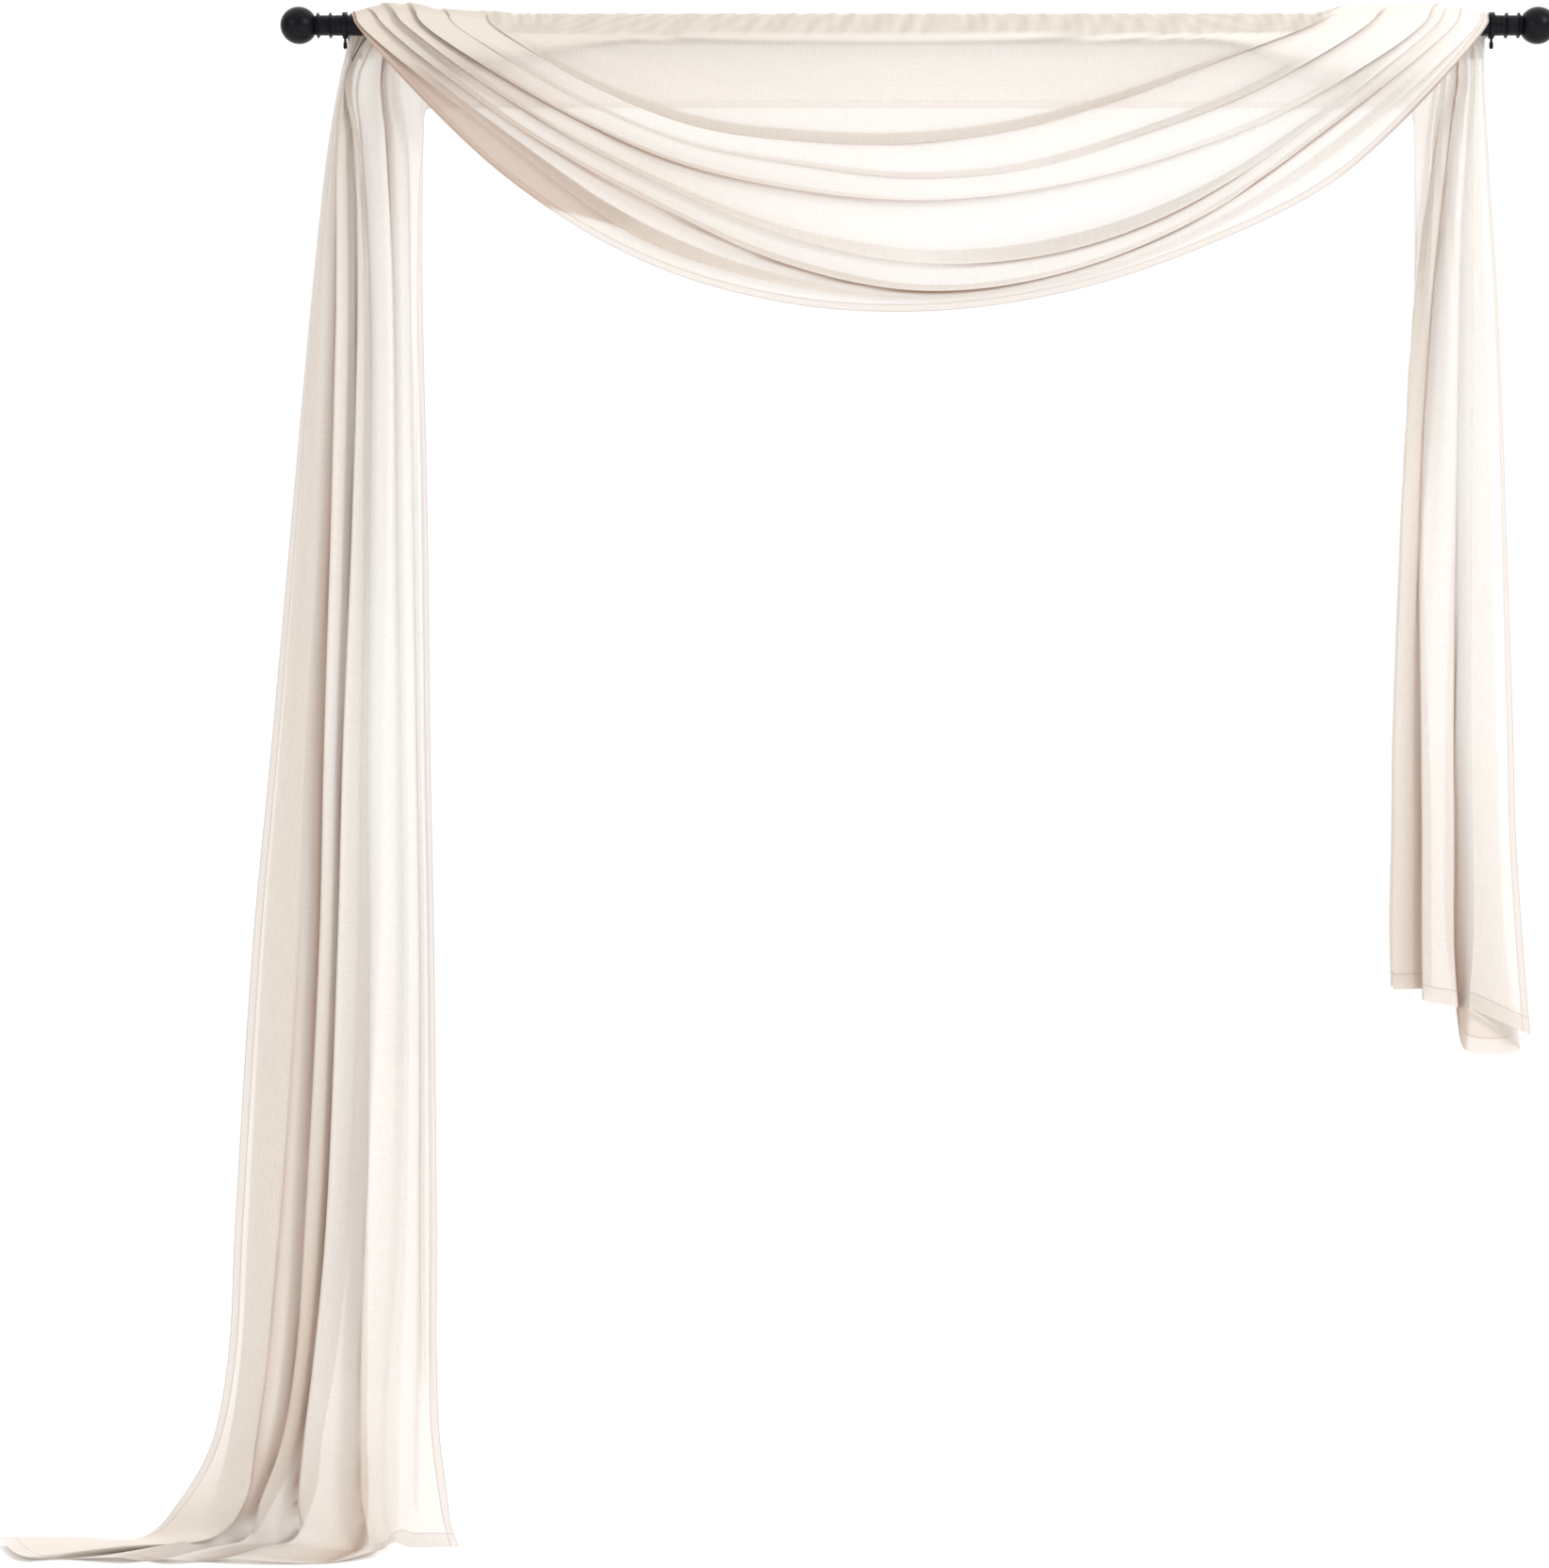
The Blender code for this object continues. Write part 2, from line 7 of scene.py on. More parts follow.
import bpy
import numpy as np
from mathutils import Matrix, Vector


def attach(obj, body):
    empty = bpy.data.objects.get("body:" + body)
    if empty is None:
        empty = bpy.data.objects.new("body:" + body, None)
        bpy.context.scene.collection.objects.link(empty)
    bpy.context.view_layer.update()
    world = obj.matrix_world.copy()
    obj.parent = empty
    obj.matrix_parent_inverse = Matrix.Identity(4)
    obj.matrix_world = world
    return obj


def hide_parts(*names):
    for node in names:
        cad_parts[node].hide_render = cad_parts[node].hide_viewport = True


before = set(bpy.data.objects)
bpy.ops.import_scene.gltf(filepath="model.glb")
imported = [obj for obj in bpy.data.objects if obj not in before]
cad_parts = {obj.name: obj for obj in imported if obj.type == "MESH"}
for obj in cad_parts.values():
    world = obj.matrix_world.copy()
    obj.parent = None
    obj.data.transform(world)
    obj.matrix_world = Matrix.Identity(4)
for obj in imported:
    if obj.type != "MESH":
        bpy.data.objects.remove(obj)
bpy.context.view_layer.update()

MM = 0.001

# ---- pole and fittings ----
POLE_RADIUS = 14 * MM
POLE_Y = -120 * MM
BRACKET_SPAN = 1581 * MM
SLEEVE_START = 12 * MM
BALL_FROM_BRACKET = 64 * MM
BALL_RADIUS = 25.4 * MM
FINIAL_RINGS = (20 * MM, 37 * MM)
RING_RADIUS = 17.9 * MM
RING_HALF_WIDTH = 3.4 * MM
RING_CREST = 1.4  # power that narrows the rings' crests
SLEEVE_RADIUS = POLE_RADIUS - 0.2 * MM
RIM_RADIUS = POLE_RADIUS - 0.6 * MM
RIM_EDGE = 0.3 * MM  # bevel of the rim along the pole
COVE_START = 40 * MM
NECK_RADIUS = 0.86 * POLE_RADIUS
TIP_RADIUS = 0.0005 * MM  # closes a turned piece at its ends
FULL_TURN = np.linspace(0, 2 * np.pi, 96, endpoint=False)

# ---- scarf ----
WRAP_RADIUS = 15.5 * MM  # cloth's middle where it lies on the pole
FLOOR_DROP = 2110 * MM
FLAP_DROP = 111 * MM
SCARF_WIDTH = 0.80
SCARF_LENGTH = 5.5
WRAP_STEPS = 6
WRAP_ANGLES = np.linspace(0.0, np.pi, WRAP_STEPS + 1)
SWAG_STOPS = np.linspace(0, 1, 9)[1:-1]
LIPS = ("edge", "hem", "low", "second", "third", "soft", "top")
FOLDS = LIPS[1:]


def shares(text):
    """Rows of a written table as arrays, keyed by each row's name. A first row other than level
    names the columns."""
    rows = [line.split() for line in text.strip().splitlines()]
    if rows[0][0] != "level":
        del rows[0]
    return {row[0]: np.array(row[1:], float) for row in rows}


def table(text):
    """The same, for a table written in millimetres."""
    return {name: row * MM for name, row in shares(text).items()}


# Where each lip crosses the pole (behind, on top, in front) at both ends, and the same for the
# cloth that lies along the pole: on its front, on its back and at the scarf's upper edge.
CROSSINGS = table("""
line   left_back  top front front  top right_back
edge         6.5  6.5    15  1574 1576       1576
hem           12 10.5    20  1560 1567       1568
low           20   28    52  1528 1541       1555
second        31   50    80  1503 1522       1541
third         46   85   106  1485 1506       1527
soft          66  132   150  1411 1446       1514
top           96  188   201  1340 1392       1500
front        103  235   262  1298 1355       1493
back         128  258   300  1258 1322       1468
inner        117  168   232  1345 1420       1462
""")

# How far each lip hangs below the pole's axis, at eighths of its way from left to right.
SWAG_DROPS = table("""
line   1/8 2/8 3/8 4/8 5/8 6/8 7/8
edge   202 325 384 397 371 307 205
hem    157 296 359 382 359 293 176
low    144 250 333 371 350 279 154
second 128 225 298 333 321 260 144
third  112 192 232 247 229 185 115
soft    98 165 196 215 203 156  94
top     88 144 164 168 150 111  56
front    0   0   0   0   0   0   0
""")

# How far each lip and then its tuck stand out from the cloth on the pole, at three places.
STAND_OUT = table("""
line   left   . middle . right   .
edge     .3   0      4 4    .6   0
hem     3.5  .3     10 4     6  .8
low       8   3     22 4     9   4
second   15   4     22 4    10   3
third  15.5   5     20 4  14.5   4
soft      7 3.5     11 4    14 3.5
top     4.5 2.5      8 4    11 3.5
""")

# Left tail: each crease's and each ridge's place along the pole at levels below the pole's axis.
LEFT_TAIL = table("""
level         67 152 349 677 1005 1267 1660 1844 1962 2041
edge         -11 -26 -48 -77 -106 -131 -156 -166 -190 -234
hem_ridge     -3 -17 -33 -43  -60  -69  -95 -109 -127 -142
hem           -7 -22 -43 -70  -96 -118 -140 -150 -168 -190
low_ridge     -4 -14 -24 -39  -59  -68  -93 -111 -128 -144
low            4   2   0  -3  -12  -18  -36  -48  -68 -104
second_ridge  -1 -13 -14 -21  -31  -37  -57  -70  -91 -120
second         5  12  20  20   13   10   -5  -22  -42  -52
third_ridge   -2   8  15   8   -5  -12  -28  -45  -60  -68
third         13  16  27  27   24   26   22   21   20   22
soft_ridge    47  53  60  60   55   50   30   22   20   21
soft          45  51  62  67   72   75   68   54   47   46
top_ridge     60  68  76  80   85   88   86   80   75   72
top           72  82  86  91   96  100  100   99   94   90
inner        107 105 104 111  115  120  124  124  128  137
""")
LEFT_LEVELS = LEFT_TAIL["level"]

# Left tail on the floor: along the pole and toward the wall, at the turn and at the hem.
LEFT_POOL = table("""
line         turn_x turn_y hem_x hem_y
edge           -286     60  -494    66
hem_ridge      -181     32  -434   -46
hem            -214     64  -396   -30
low_ridge      -183     66  -300   -56
low            -146     70  -268   -44
second_ridge   -137     30  -232   -64
second          -84     74  -190   -48
third_ridge     -66     36  -150   -62
third            16     40   -22   -58
soft_ridge       33     10    34   -26
soft             50     44    44    30
top_ridge        70     44    62    44
top              90     48    84    46
inner           140     52   152    52
""")

# Right tail, in the same way, with the level of the hem in its last column.
RIGHT_LEVELS = np.array((67, 126, 227, 349, 559, 742, 986, 1109, 1254)) * MM
RIGHT_TAIL = table("""
line           67  126  227  349  559  742  986 1109 1254  hem hem_level
edge         1575 1578 1583 1591 1600 1606 1614 1617 1626 1637      1393
hem_ridge    1563 1561 1559 1558 1557 1555 1555 1557 1558 1551      1357
hem          1570 1572 1575 1580 1586 1590 1596 1600 1608 1630      1415
low_ridge    1565 1564 1562 1562 1562 1562 1563 1564 1564 1549      1415
low          1561 1558 1550 1545 1540 1536 1532 1532 1533 1548      1366
second_ridge 1553 1548 1541 1537 1534 1531 1529 1530 1529 1529      1353
second       1546 1538 1525 1511 1495 1485 1486 1487 1487 1488      1345
third_ridge  1539 1531 1519 1507 1492 1492 1500 1503 1503 1504      1332
third        1532 1517 1500 1484 1468 1460 1451 1450 1447 1449      1331
soft_ridge   1525 1516 1505 1496 1482 1476 1473 1473 1471 1472      1330
soft         1518 1512 1507 1503 1496 1494 1495 1496 1495 1496      1330
top_ridge    1514 1507 1500 1494 1484 1478 1476 1476 1474 1475      1330
top          1508 1501 1493 1485 1473 1465 1457 1456 1453 1455      1330
inner        1478 1481 1483 1485 1488 1490 1492 1493 1492 1493      1330
""")

HANGING = (LEFT_POOL, LEFT_TAIL, RIGHT_TAIL)

# Depth of the tails behind the pole's axis: the middle of the pleats and their swing.
TAIL_DEPTHS = table("""
level     0 67 152 349 677 1267 1844 2041
middle 15.5 29  36  41  44   46   44   46
swing     0 10  18  27  33   36   37   28
""")

# Share of the swing that each crease and ridge takes at four levels (a plus is toward the wall).
LEFT_DEPTHS = shares("""
line   crease   .    .    . ridge   .   .    .
level     100 300  900 1900   100 300 900 1900
edge        0   0  -.2    0     0   0 -.2    0
hem        .2  .2   .3   .3   -.6 -.8 -.9  -.8
low        .8 1.1 1.25  1.2   -.3  .1  .2  -.4
second      1 1.1  1.2  1.1    -1  -1  -1   -1
third     1.1  .9   .6   .9   -.9  -1  -1  -.9
soft       .9  .5   .3   .4    -1 -.8 -.7   -1
top        .6  .2   .1   .3   -.6 -.6 -.6  -.6
flat        0 -.1  -.1    0     0 -.1 -.1    0
""")
RIGHT_DEPTHS = shares("""
line   crease    .    .    . ridge    .    .    .
level     100  600  950 1350   100  600  950 1350
edge     -.75 -.75 -.75 -.75  -.75 -.75 -.75 -.75
hem        .2   .2   .2  .35    -1   -1   -1   -1
low        .3   .4   .9    1   -.4  -.4  -.3  -.3
second     .6   .3  -.8 -.85    -1   -1   -1   -1
third      .7  -.3  -.4  -.4   -.6  -.1    0    0
soft       .6   .5   .6   .6   -.3   .1   .2   .2
top        .4   .8   .9   .9     0   .6   .7   .7
flat       .4    1  1.1  1.1    .4    1  1.1  1.1
""")

FLAP_TURN = 4  # power that sets how sharply the flap's edge turns down into the tails
TUCK_RISE = 0.85  # share of the way to its lip that a tuck rises on top of the pole
# Fine pleats of the pole lines in the tails: how far they turn back and forth, how far they stand
# behind the tail's front (both as shares of the swing) and how far they tuck back in their width.
FINE_PLEATS = 0.08
FINE_PLEATS_BACK = 0.1
FINE_PLEATS_TUCK = 0.3
FINE_PLEATS_START = (330 * MM, 800 * MM)
FINE_PLEATS_END = (1780 * MM, 1950 * MM)
CREASE_POWER = 2.0  # how much narrower the tails' creases are than their ridges
CRISP_FROM = (60 * MM, 200 * MM)  # levels over which the creases grow narrow
CRISP_TO = (1900 * MM, 2041 * MM)  # and round again over the floor

# Height over the floor of each kind of line in the pool.
POOL_HEIGHTS = table("""
kind   hem middle turn
crease  .6     .6    5
ridge    8     13   20
edge    11     12   14
flat    .6     16   36
""")

# Share of the way from its lip to the next line in (or out, with a minus) at which a tuck lies.
LAPS = shares("""
line   left_back swag right_back
hem          -.3  .45         .7
low          -.5   .3        -.3
second       -.5  .25        -.5
third        -.5   .2        -.5
soft         -.5   .2        -.5
top          -.5   .1        -.6
""")

# Flats between neighbouring lines across the scarf, and between neighbouring stations along it.
ACROSS = (18, 12) + (12, 12) + (18, 12) * 4 + (18,) + (3,) * WRAP_STEPS + (22,)
ALONG = (10, 8, 8) + (7,) * 9 + (8,) + (5,) * 6 + (14,) * 8 + (5,) * 6 + (8,) + (8,) * 8 + (12,)


def spline(points, counts):
    """Centripetal Catmull-Rom curve through points[:, key], with counts[key] steps to a span."""
    first = 2 * points[:, :1] - points[:, 1:2]
    last = 2 * points[:, -1:] - points[:, -2:-1]
    p = np.concatenate((first, points, last), axis=1)
    gap = np.sqrt(np.linalg.norm(np.diff(p, axis=1), axis=2, keepdims=True)) + 1e-9
    pieces = []
    for key, count in enumerate(counts):
        a, b, c, d = (p[:, key + step] for step in range(4))
        before, here, after = (gap[:, key + step] for step in range(3))
        leave = here * ((b - a) / before - (c - a) / (before + here) + (c - b) / here)
        arrive = here * ((c - b) / here - (d - b) / (here + after) + (d - c) / after)
        u = (np.arange(count) / count)[None, :, None]
        curve = (
            (2 * u**3 - 3 * u**2 + 1) * b[:, None]
            + (u**3 - 2 * u**2 + u) * leave[:, None]
            + (3 * u**2 - 2 * u**3) * c[:, None]
            + (u**3 - u**2) * arrive[:, None]
        )
        pieces.append(curve)
    pieces.append(points[:, -1:])
    return np.concatenate(pieces, axis=1)


def xyz(x, y, z):
    """Points [..., xyz] from three arrays or numbers."""
    return np.stack(np.broadcast_arrays(x, y, z), axis=-1)


def around_pole(x, angle, stand_out):
    """Points on the pole's skin: angle 0 in front, a quarter turn on top, a half turn behind."""
    radius = WRAP_RADIUS + stand_out
    return xyz(x, POLE_Y - radius * np.cos(angle), radius * np.sin(angle))


def pleat_depths(level):
    """Depth of the tails' pleats behind the pole's axis at a level: their middle and swing."""
    levels, *depths = TAIL_DEPTHS.values()
    return [np.interp(level, levels, depth) for depth in depths]


def tail_line(x, levels, depths, name, tuck, pleat):
    """A line down a tail: y = middle depth + swing * (share + pleat * how far pleats are drawn up).
    The share is read between its four written stops."""
    middle, swing = pleat_depths(levels)
    share = np.interp(levels, depths["level"][:4] * MM, depths[name][4 * tuck : 4 * tuck + 4])
    y = POLE_Y + middle + swing * (share + pleat * hidden(levels))
    return xyz(x, y, -levels)


def mix(first, second, share):
    """A value part of the way from the first to the second."""
    return first + share * (second - first)


def next_in(name):
    """The line next to a lip on its inner side."""
    return (*LIPS, "front")[LIPS.index(name) + 1]


def crossing_track(row):
    """Places round the pole, at the left end from back to front and at the right front to back."""
    quarters = (0, np.pi / 2, np.pi)
    left = np.interp(WRAP_ANGLES[::-1], quarters, row[2::-1])
    return left, np.interp(WRAP_ANGLES, quarters, row[3:])


def swag_track(row):
    """Places along the swag, between the two turns over the pole."""
    return mix(row[2], row[3], SWAG_STOPS)


def wrap_region(name, tuck):
    """A lip's or tuck's points where it turns over the pole, left end and right end."""
    tracks = [
        crossing_track(CROSSINGS[line])
        for line in (name, next_in(name), LIPS[LIPS.index(name) - 1])
    ]
    stand = STAND_OUT[name]
    ends = []
    for end, angle in enumerate((WRAP_ANGLES[::-1], WRAP_ANGLES)):
        x, inward, outward = (track[end] for track in tracks)
        out = stand[4 * end + tuck]
        if tuck:
            out = mix(out, stand[4 * end], TUCK_RISE * np.sin(angle) ** 2)
            lap = np.linspace(*LAPS[name][end : 2 + end], WRAP_STEPS + 1)
            x = np.where(lap > 0, mix(x, inward, lap), mix(x, outward, -lap))
        ends.append(around_pole(x, angle, out))
    return ends


def swag_region(name, tuck):
    """A lip's or tuck's points along the swag, between the two turns over the pole."""
    x, z = swag_track(CROSSINGS[name]), -SWAG_DROPS[name]
    if tuck:
        lap = LAPS[name][1]
        inward = next_in(name)
        x = mix(x, swag_track(CROSSINGS[inward]), lap)
        z = mix(z, -SWAG_DROPS[inward], lap)
    left, middle, right = STAND_OUT[name][tuck::2]
    out = np.interp(SWAG_STOPS, (0, 0.25, 0.75, 1), (left, middle, middle, right))
    return xyz(x, POLE_Y - WRAP_RADIUS - out, z)


def pool_points(pool, kind):
    """A line's hem, its middle on the floor and its turn up from the floor."""
    turn = np.array((*pool[:2], 0))
    hem = np.array((*pool[2:], 0))
    points = np.stack((hem, (hem + turn) / 2, turn))
    points[:, 1] += POLE_Y
    points[:, 2] = POOL_HEIGHTS[kind] - FLOOR_DROP
    return points


def crisp_pleats(points):
    """The tails with broad ridges and narrow creases: share -> 2 ((share + 1) / 2)^power - 1."""
    level = -points[..., 2]
    middle, swing = pleat_depths(level)
    share = (points[..., 1] - POLE_Y - middle) / np.maximum(swing, 1 * MM)
    crisp = 2 * np.clip((share + 1) / 2, 0, None) ** CREASE_POWER - 1
    rows = row_numbers(points)
    in_tail = (rows > TURN) & (rows < LEFT_TOP) | (rows > RIGHT_TOP)
    made = points.copy()
    made[..., 1] += hump(level, CRISP_FROM, CRISP_TO) * in_tail * (crisp - share) * swing
    return made


def whole_line(rows, over, kind="flat", name="flat", tuck=0, pleats=(0, 0), flap=0):
    """A line from hem to hem, from its rows in HANGING's tables and its points over the pole."""
    pool, left, (*right, hem_level) = rows
    right_levels = np.append(turned_in(RIGHT_LEVELS, flap), hem_level)
    left_tail = tail_line(left, turned_in(LEFT_LEVELS, flap), LEFT_DEPTHS, name, tuck, pleats[0])
    right_tail = tail_line(right, right_levels, RIGHT_DEPTHS, name, tuck, pleats[1])
    return np.concatenate((pool_points(pool, kind), left_tail[::-1], *over, right_tail))


def fold_line(name, tuck):
    """The whole length of a lip or a tuck."""
    line = name + "_ridge" * tuck
    kind = "ridge" if tuck else {LIPS[0]: "edge", LIPS[-1]: "flat"}.get(name, "crease")
    left_wrap, right_wrap = wrap_region(name, tuck)
    over = (left_wrap, swag_region(name, tuck), right_wrap)
    return whole_line([written[line] for written in HANGING], over, kind, name, tuck)


def turned_in(levels, flap):
    """Levels of a line that turns out of a flap's level into the tails: a smooth larger of both."""
    return (levels**FLAP_TURN + flap**FLAP_TURN) ** (1 / FLAP_TURN)


def hidden(levels):
    """How far the fine pleats are drawn up at each level: none near the pole and the floor."""
    return hump(levels, FINE_PLEATS_START, FINE_PLEATS_END)


def pole_line(step):
    """A line that lies along the pole at one of the wrap's angles and runs flat down the tails."""
    share = (step + 1) / (WRAP_STEPS + 2)
    tucked = share - FINE_PLEATS_TUCK * np.sin(np.pi * share) * hidden(LEFT_LEVELS)
    rows = [
        mix(written["top"], written["inner"], part)
        for written, part in zip(HANGING, (share, tucked, share))
    ]
    row = mix(CROSSINGS["front"], CROSSINGS["back"], step / WRAP_STEPS)
    left_x, right_x = crossing_track(row)
    over = [
        around_pole(x, np.maximum(turn, WRAP_ANGLES[step]), 0)
        for x, turn in ((left_x, WRAP_ANGLES[::-1]), (swag_track(row), 0), (right_x, WRAP_ANGLES))
    ]
    pleat = FINE_PLEATS * (-1) ** (step + 1)
    return whole_line(rows, over, pleats=(FINE_PLEATS_BACK + pleat, pleat))


def inner_line():
    """The scarf's upper edge: up the left tail, along the flap behind the pole, down the right."""
    row = CROSSINGS["inner"]
    left_x, right_x = crossing_track(row)
    flap_x = np.concatenate((left_x, swag_track(row), right_x))
    hanging = xyz(flap_x, POLE_Y + WRAP_RADIUS, -FLAP_DROP)
    return whole_line([written["inner"] for written in HANGING], [hanging], flap=FLAP_DROP)


def scarf_surface():
    """Grid of points [station, across]: splines across the fold lines, themselves splined along."""
    lines = [fold_line(LIPS[0], 0)]
    for name in FOLDS:
        lines.append(fold_line(name, 1))
        lines.append(fold_line(name, 0))
    lines.extend(pole_line(step) for step in range(WRAP_STEPS + 1))
    lines.append(inner_line())
    along = spline(np.stack(lines), ALONG)
    return spline(along.transpose(1, 0, 2), ACROSS)


# ---- places on the cloth ----
KEY_ACROSS = np.cumsum((0, *ACROSS))  # column of each line
KEY_ALONG = np.cumsum((0, *ALONG))  # row of each station
TURN, LEFT_TOP, LEFT_BACK, LEFT_FRONT = KEY_ALONG[[2, 12, 13, 19]]
RIGHT_FRONT, RIGHT_BACK, RIGHT_TOP = KEY_ALONG[[27, 33, 34]]
POLE_FRONT, POLE_BACK = KEY_ACROSS[[13, 13 + WRAP_STEPS]]


def run(points, axis):
    """Distance run along the grid's rows or columns, from 0."""
    step = np.linalg.norm(np.diff(points, axis=axis), axis=2)
    return np.insert(np.cumsum(step, axis=axis), 0, 0, axis=axis)


def smooth(value, low, high):
    """0 under low, 1 over high, and 3t^2 - 2t^3 between them."""
    t = np.clip((value - low) / (high - low), 0, 1)
    return t * t * (3 - 2 * t)


def hump(value, rise, fall):
    """Up from 0 to 1 over the rise and back to 0 over the fall, each a pair of values."""
    return smooth(value, *rise) * (1 - smooth(value, *fall))


def row_numbers(points):
    """Each row's number, as a column."""
    return np.arange(points.shape[0])[:, None]


def in_swag(points):
    """1 along the swag and 0 down the tails, blended over the turns over the pole."""
    return hump(row_numbers(points), (LEFT_BACK, LEFT_FRONT), (RIGHT_FRONT, RIGHT_BACK))


def unit(vectors):
    """The same directions, each 1 long."""
    return vectors / (np.linalg.norm(vectors, axis=2, keepdims=True) + 1e-12)


def normals(points):
    """Unit normals of the grid, from the cross product of its two directions."""
    return unit(np.cross(np.gradient(points, axis=0), np.gradient(points, axis=1)))


# Fine gathers: wavelength on the flat cloth, height against the others, the phase's drift to the
# metre along the scarf, and phase.
GATHERS = table("""
wave   length height drift phase
broad      71   1000  1900   400
middle     43    800 -2600  2100
fine       29    700  3300  5100
hair       19    350 -4100  1300
""")
GATHER_HEIGHT = 1.5 * MM
SWELL = (0.65, 0.35)  # middle and swing of the slow swelling of each wave
SWELL_ALONG = (1.3, 9)  # radians to the metre along: for all waves, and for a wave's height
SWELL_ACROSS = 11
MOST_BUNCHED = 1.2  # spare width, in widths taken up, at which the gathers are highest
TAIL_GATHERS = 0.4  # height of the tails' gathers in that of the swag's


def gathers(across, along, fullness):
    """Sum of height * sin(2 pi across / length + drift * along + phase), higher where the cloth is
    bunched: fullness is its flat width over the width it takes up."""
    total = 0
    for length, height, drift, phase in GATHERS.values():
        turning = along * (SWELL_ALONG[0] + SWELL_ALONG[1] * height) + across * SWELL_ACROSS
        swell = SWELL[0] + SWELL[1] * np.sin(turning + phase * 900)
        wave = np.sin(2 * np.pi * across / length + along * drift + phase * 1000)
        total = total + height * swell * wave
    return total * np.sqrt(np.clip(fullness - 1, 0, MOST_BUNCHED)) * GATHER_HEIGHT


# How strongly the thin shadow line under each lip shows, at eighths of the way along the swag.
SWAG_LINES = shares("""
line     0 1/8 2/8 3/8 4/8 5/8 6/8 7/8   1
hem     .5  .8  .3   0  .1  .1  .1  .1  .1
low     .4 .55 .45 .75   1 .85  .9  .7  .4
second  .4  .5 .15 .15  .2  .8  .9  .6  .4
third   .4  .7 .65  .4 .35 .25  .3  .3 .25
soft   .05   0 .05  .2 .25  .2  .4  .7  .5
top    .05   0 .05  .2 .25  .2 .35  .6 .45
""")

# The same for the soft shade below that line; its last column is how far down it reaches.
SWAG_BANDS = shares("""
line     0 1/8 2/8 3/8 4/8 5/8 6/8 7/8   1 reach_mm
hem      0   0   0 .05  .1  .1  .1  .1  .1       30
low     .2 .35 .35 .35  .5  .4  .4 .25 .08       12
second  .2  .3 .15 .15  .2 .35  .4 .25 .08       12
third  .15  .3 .35  .3  .3  .3  .3  .2 .08       14
soft    .1 .05 .05  .2 .25  .2 .35  .3 .15       14
top     .1 .05 .05  .2  .3 .25 .35  .3 .15       14
""")

# The same for the soft shade above each lip, where the fold rolls under.
SWAG_ROLLS = shares("""
line    0 1/8 2/8 3/8 4/8 5/8 6/8 7/8   1 reach_mm
hem     0   0   0   0   0   0   0   0   0       10
low    .1  .1 .15 .15 .15  .1  .1  .1  .1       10
second .1 .15  .1 .05  .1 .15 .15  .1  .1       10
third  .1 .35  .5  .2 .15  .1  .1 .15  .1       18
soft    0   0 .05  .1  .1  .1  .2 .35 .15       16
top     0  .1  .3 .15  .2  .3  .4  .2  .1       16
""")

# Painted shade standing for the turned-under layer at the swag's left end: how much of the hem's
# fold it fills, from the lip down, at eighths of the way along, and how dark it is.
UNDER_LAYER_STOPS = (0, 1.0, 1.35, 1.95, 8)
UNDER_LAYER_FILL = (1.2, 1.2, 1.05, -0.1, -0.1)
UNDER_LAYER_SHADE = 0.88
UNDER_LAYER_BLUR = 0.06
LINE_WIDTH = 2.2 * MM

# Thin painted shadow line on the swag's lower edge where it crosses in front of the tails.
OVER_TAIL_STOPS = (0.0, 0.12, 0.2, 0.86, 0.93, 1.0)
OVER_TAIL_LINE = (0.5, 0.3, 0.0, 0.0, 0.6, 0.6)

# Thin painted shadow line along a fold's edge in the tails, then the painted soft shade on the
# layer behind it and how many millimetres that reaches, each at four levels down.
LEFT_FOLDS = shares("""
edge         line   .   .    . soft   .   .    . reach   .   .    .
level         100 300 900 1900  100 300 900 1900   100 300 900 1900
low_ridge       0   0   0   .3    0 .25  .5   .7     4  10  18   26
second_ridge   .1  .3  .4  .35   .2  .7   1  .85     6  13  22   24
third_ridge    .4  .5  .5   .5   .2  .2  .2  .62     4   4   4   19
third         .45 .35  .1    0  .25  .2 .05    0     3   3   4    4
soft_ridge     .2   0 .05   .3    0   0  .1  .35     4   5   8   20
soft           .6  .2  .1   .1  .75  .3 .05  .05    17  18   6    6
""")
RIGHT_FOLDS = shares("""
edge         line   .   .    . soft   .   .    . reach   .   .    .
level         100 600 950 1350  100 600 950 1350   100 600 950 1350
second_ridge    0 .15  .9  .95   .1 .15 .45   .7     4   4   9   22
second        .75 .65  .5   .4   .3 .35 .75   .8     5   7  22   32
""")
# Lines between which the layer behind each of those edges lies. Where it starts at the edge's own
# line, the shade lies in a bend that is in sight.
LEFT_LAYERS = {
    "low_ridge": ("low_ridge", "low"),
    "third": ("third", "soft_ridge"),
    "second_ridge": ("hem", "low"),
    "third_ridge": ("second_ridge", "second"),
    "soft_ridge": ("third_ridge", "third"),
    "soft": ("soft", "top"),
}
RIGHT_LAYERS = {
    "second_ridge": ("low_ridge", "low"),
    "second": ("third_ridge", "third"),
}
TAIL_LINE_WIDTH = 1.8 * MM
FLOOR_LINE_WIDTH = 5  # widths of a line on the floor, in those of the tails
FLOOR_SHADE = 0.2  # share of the tails' soft shade that is left on the floor
ON_FLOOR = (FLOOR_DROP - 50 * MM, FLOOR_DROP - 12 * MM)
VIEW_POINT = (0.59215, -5.12, -1.0465)  # where the drape is seen from
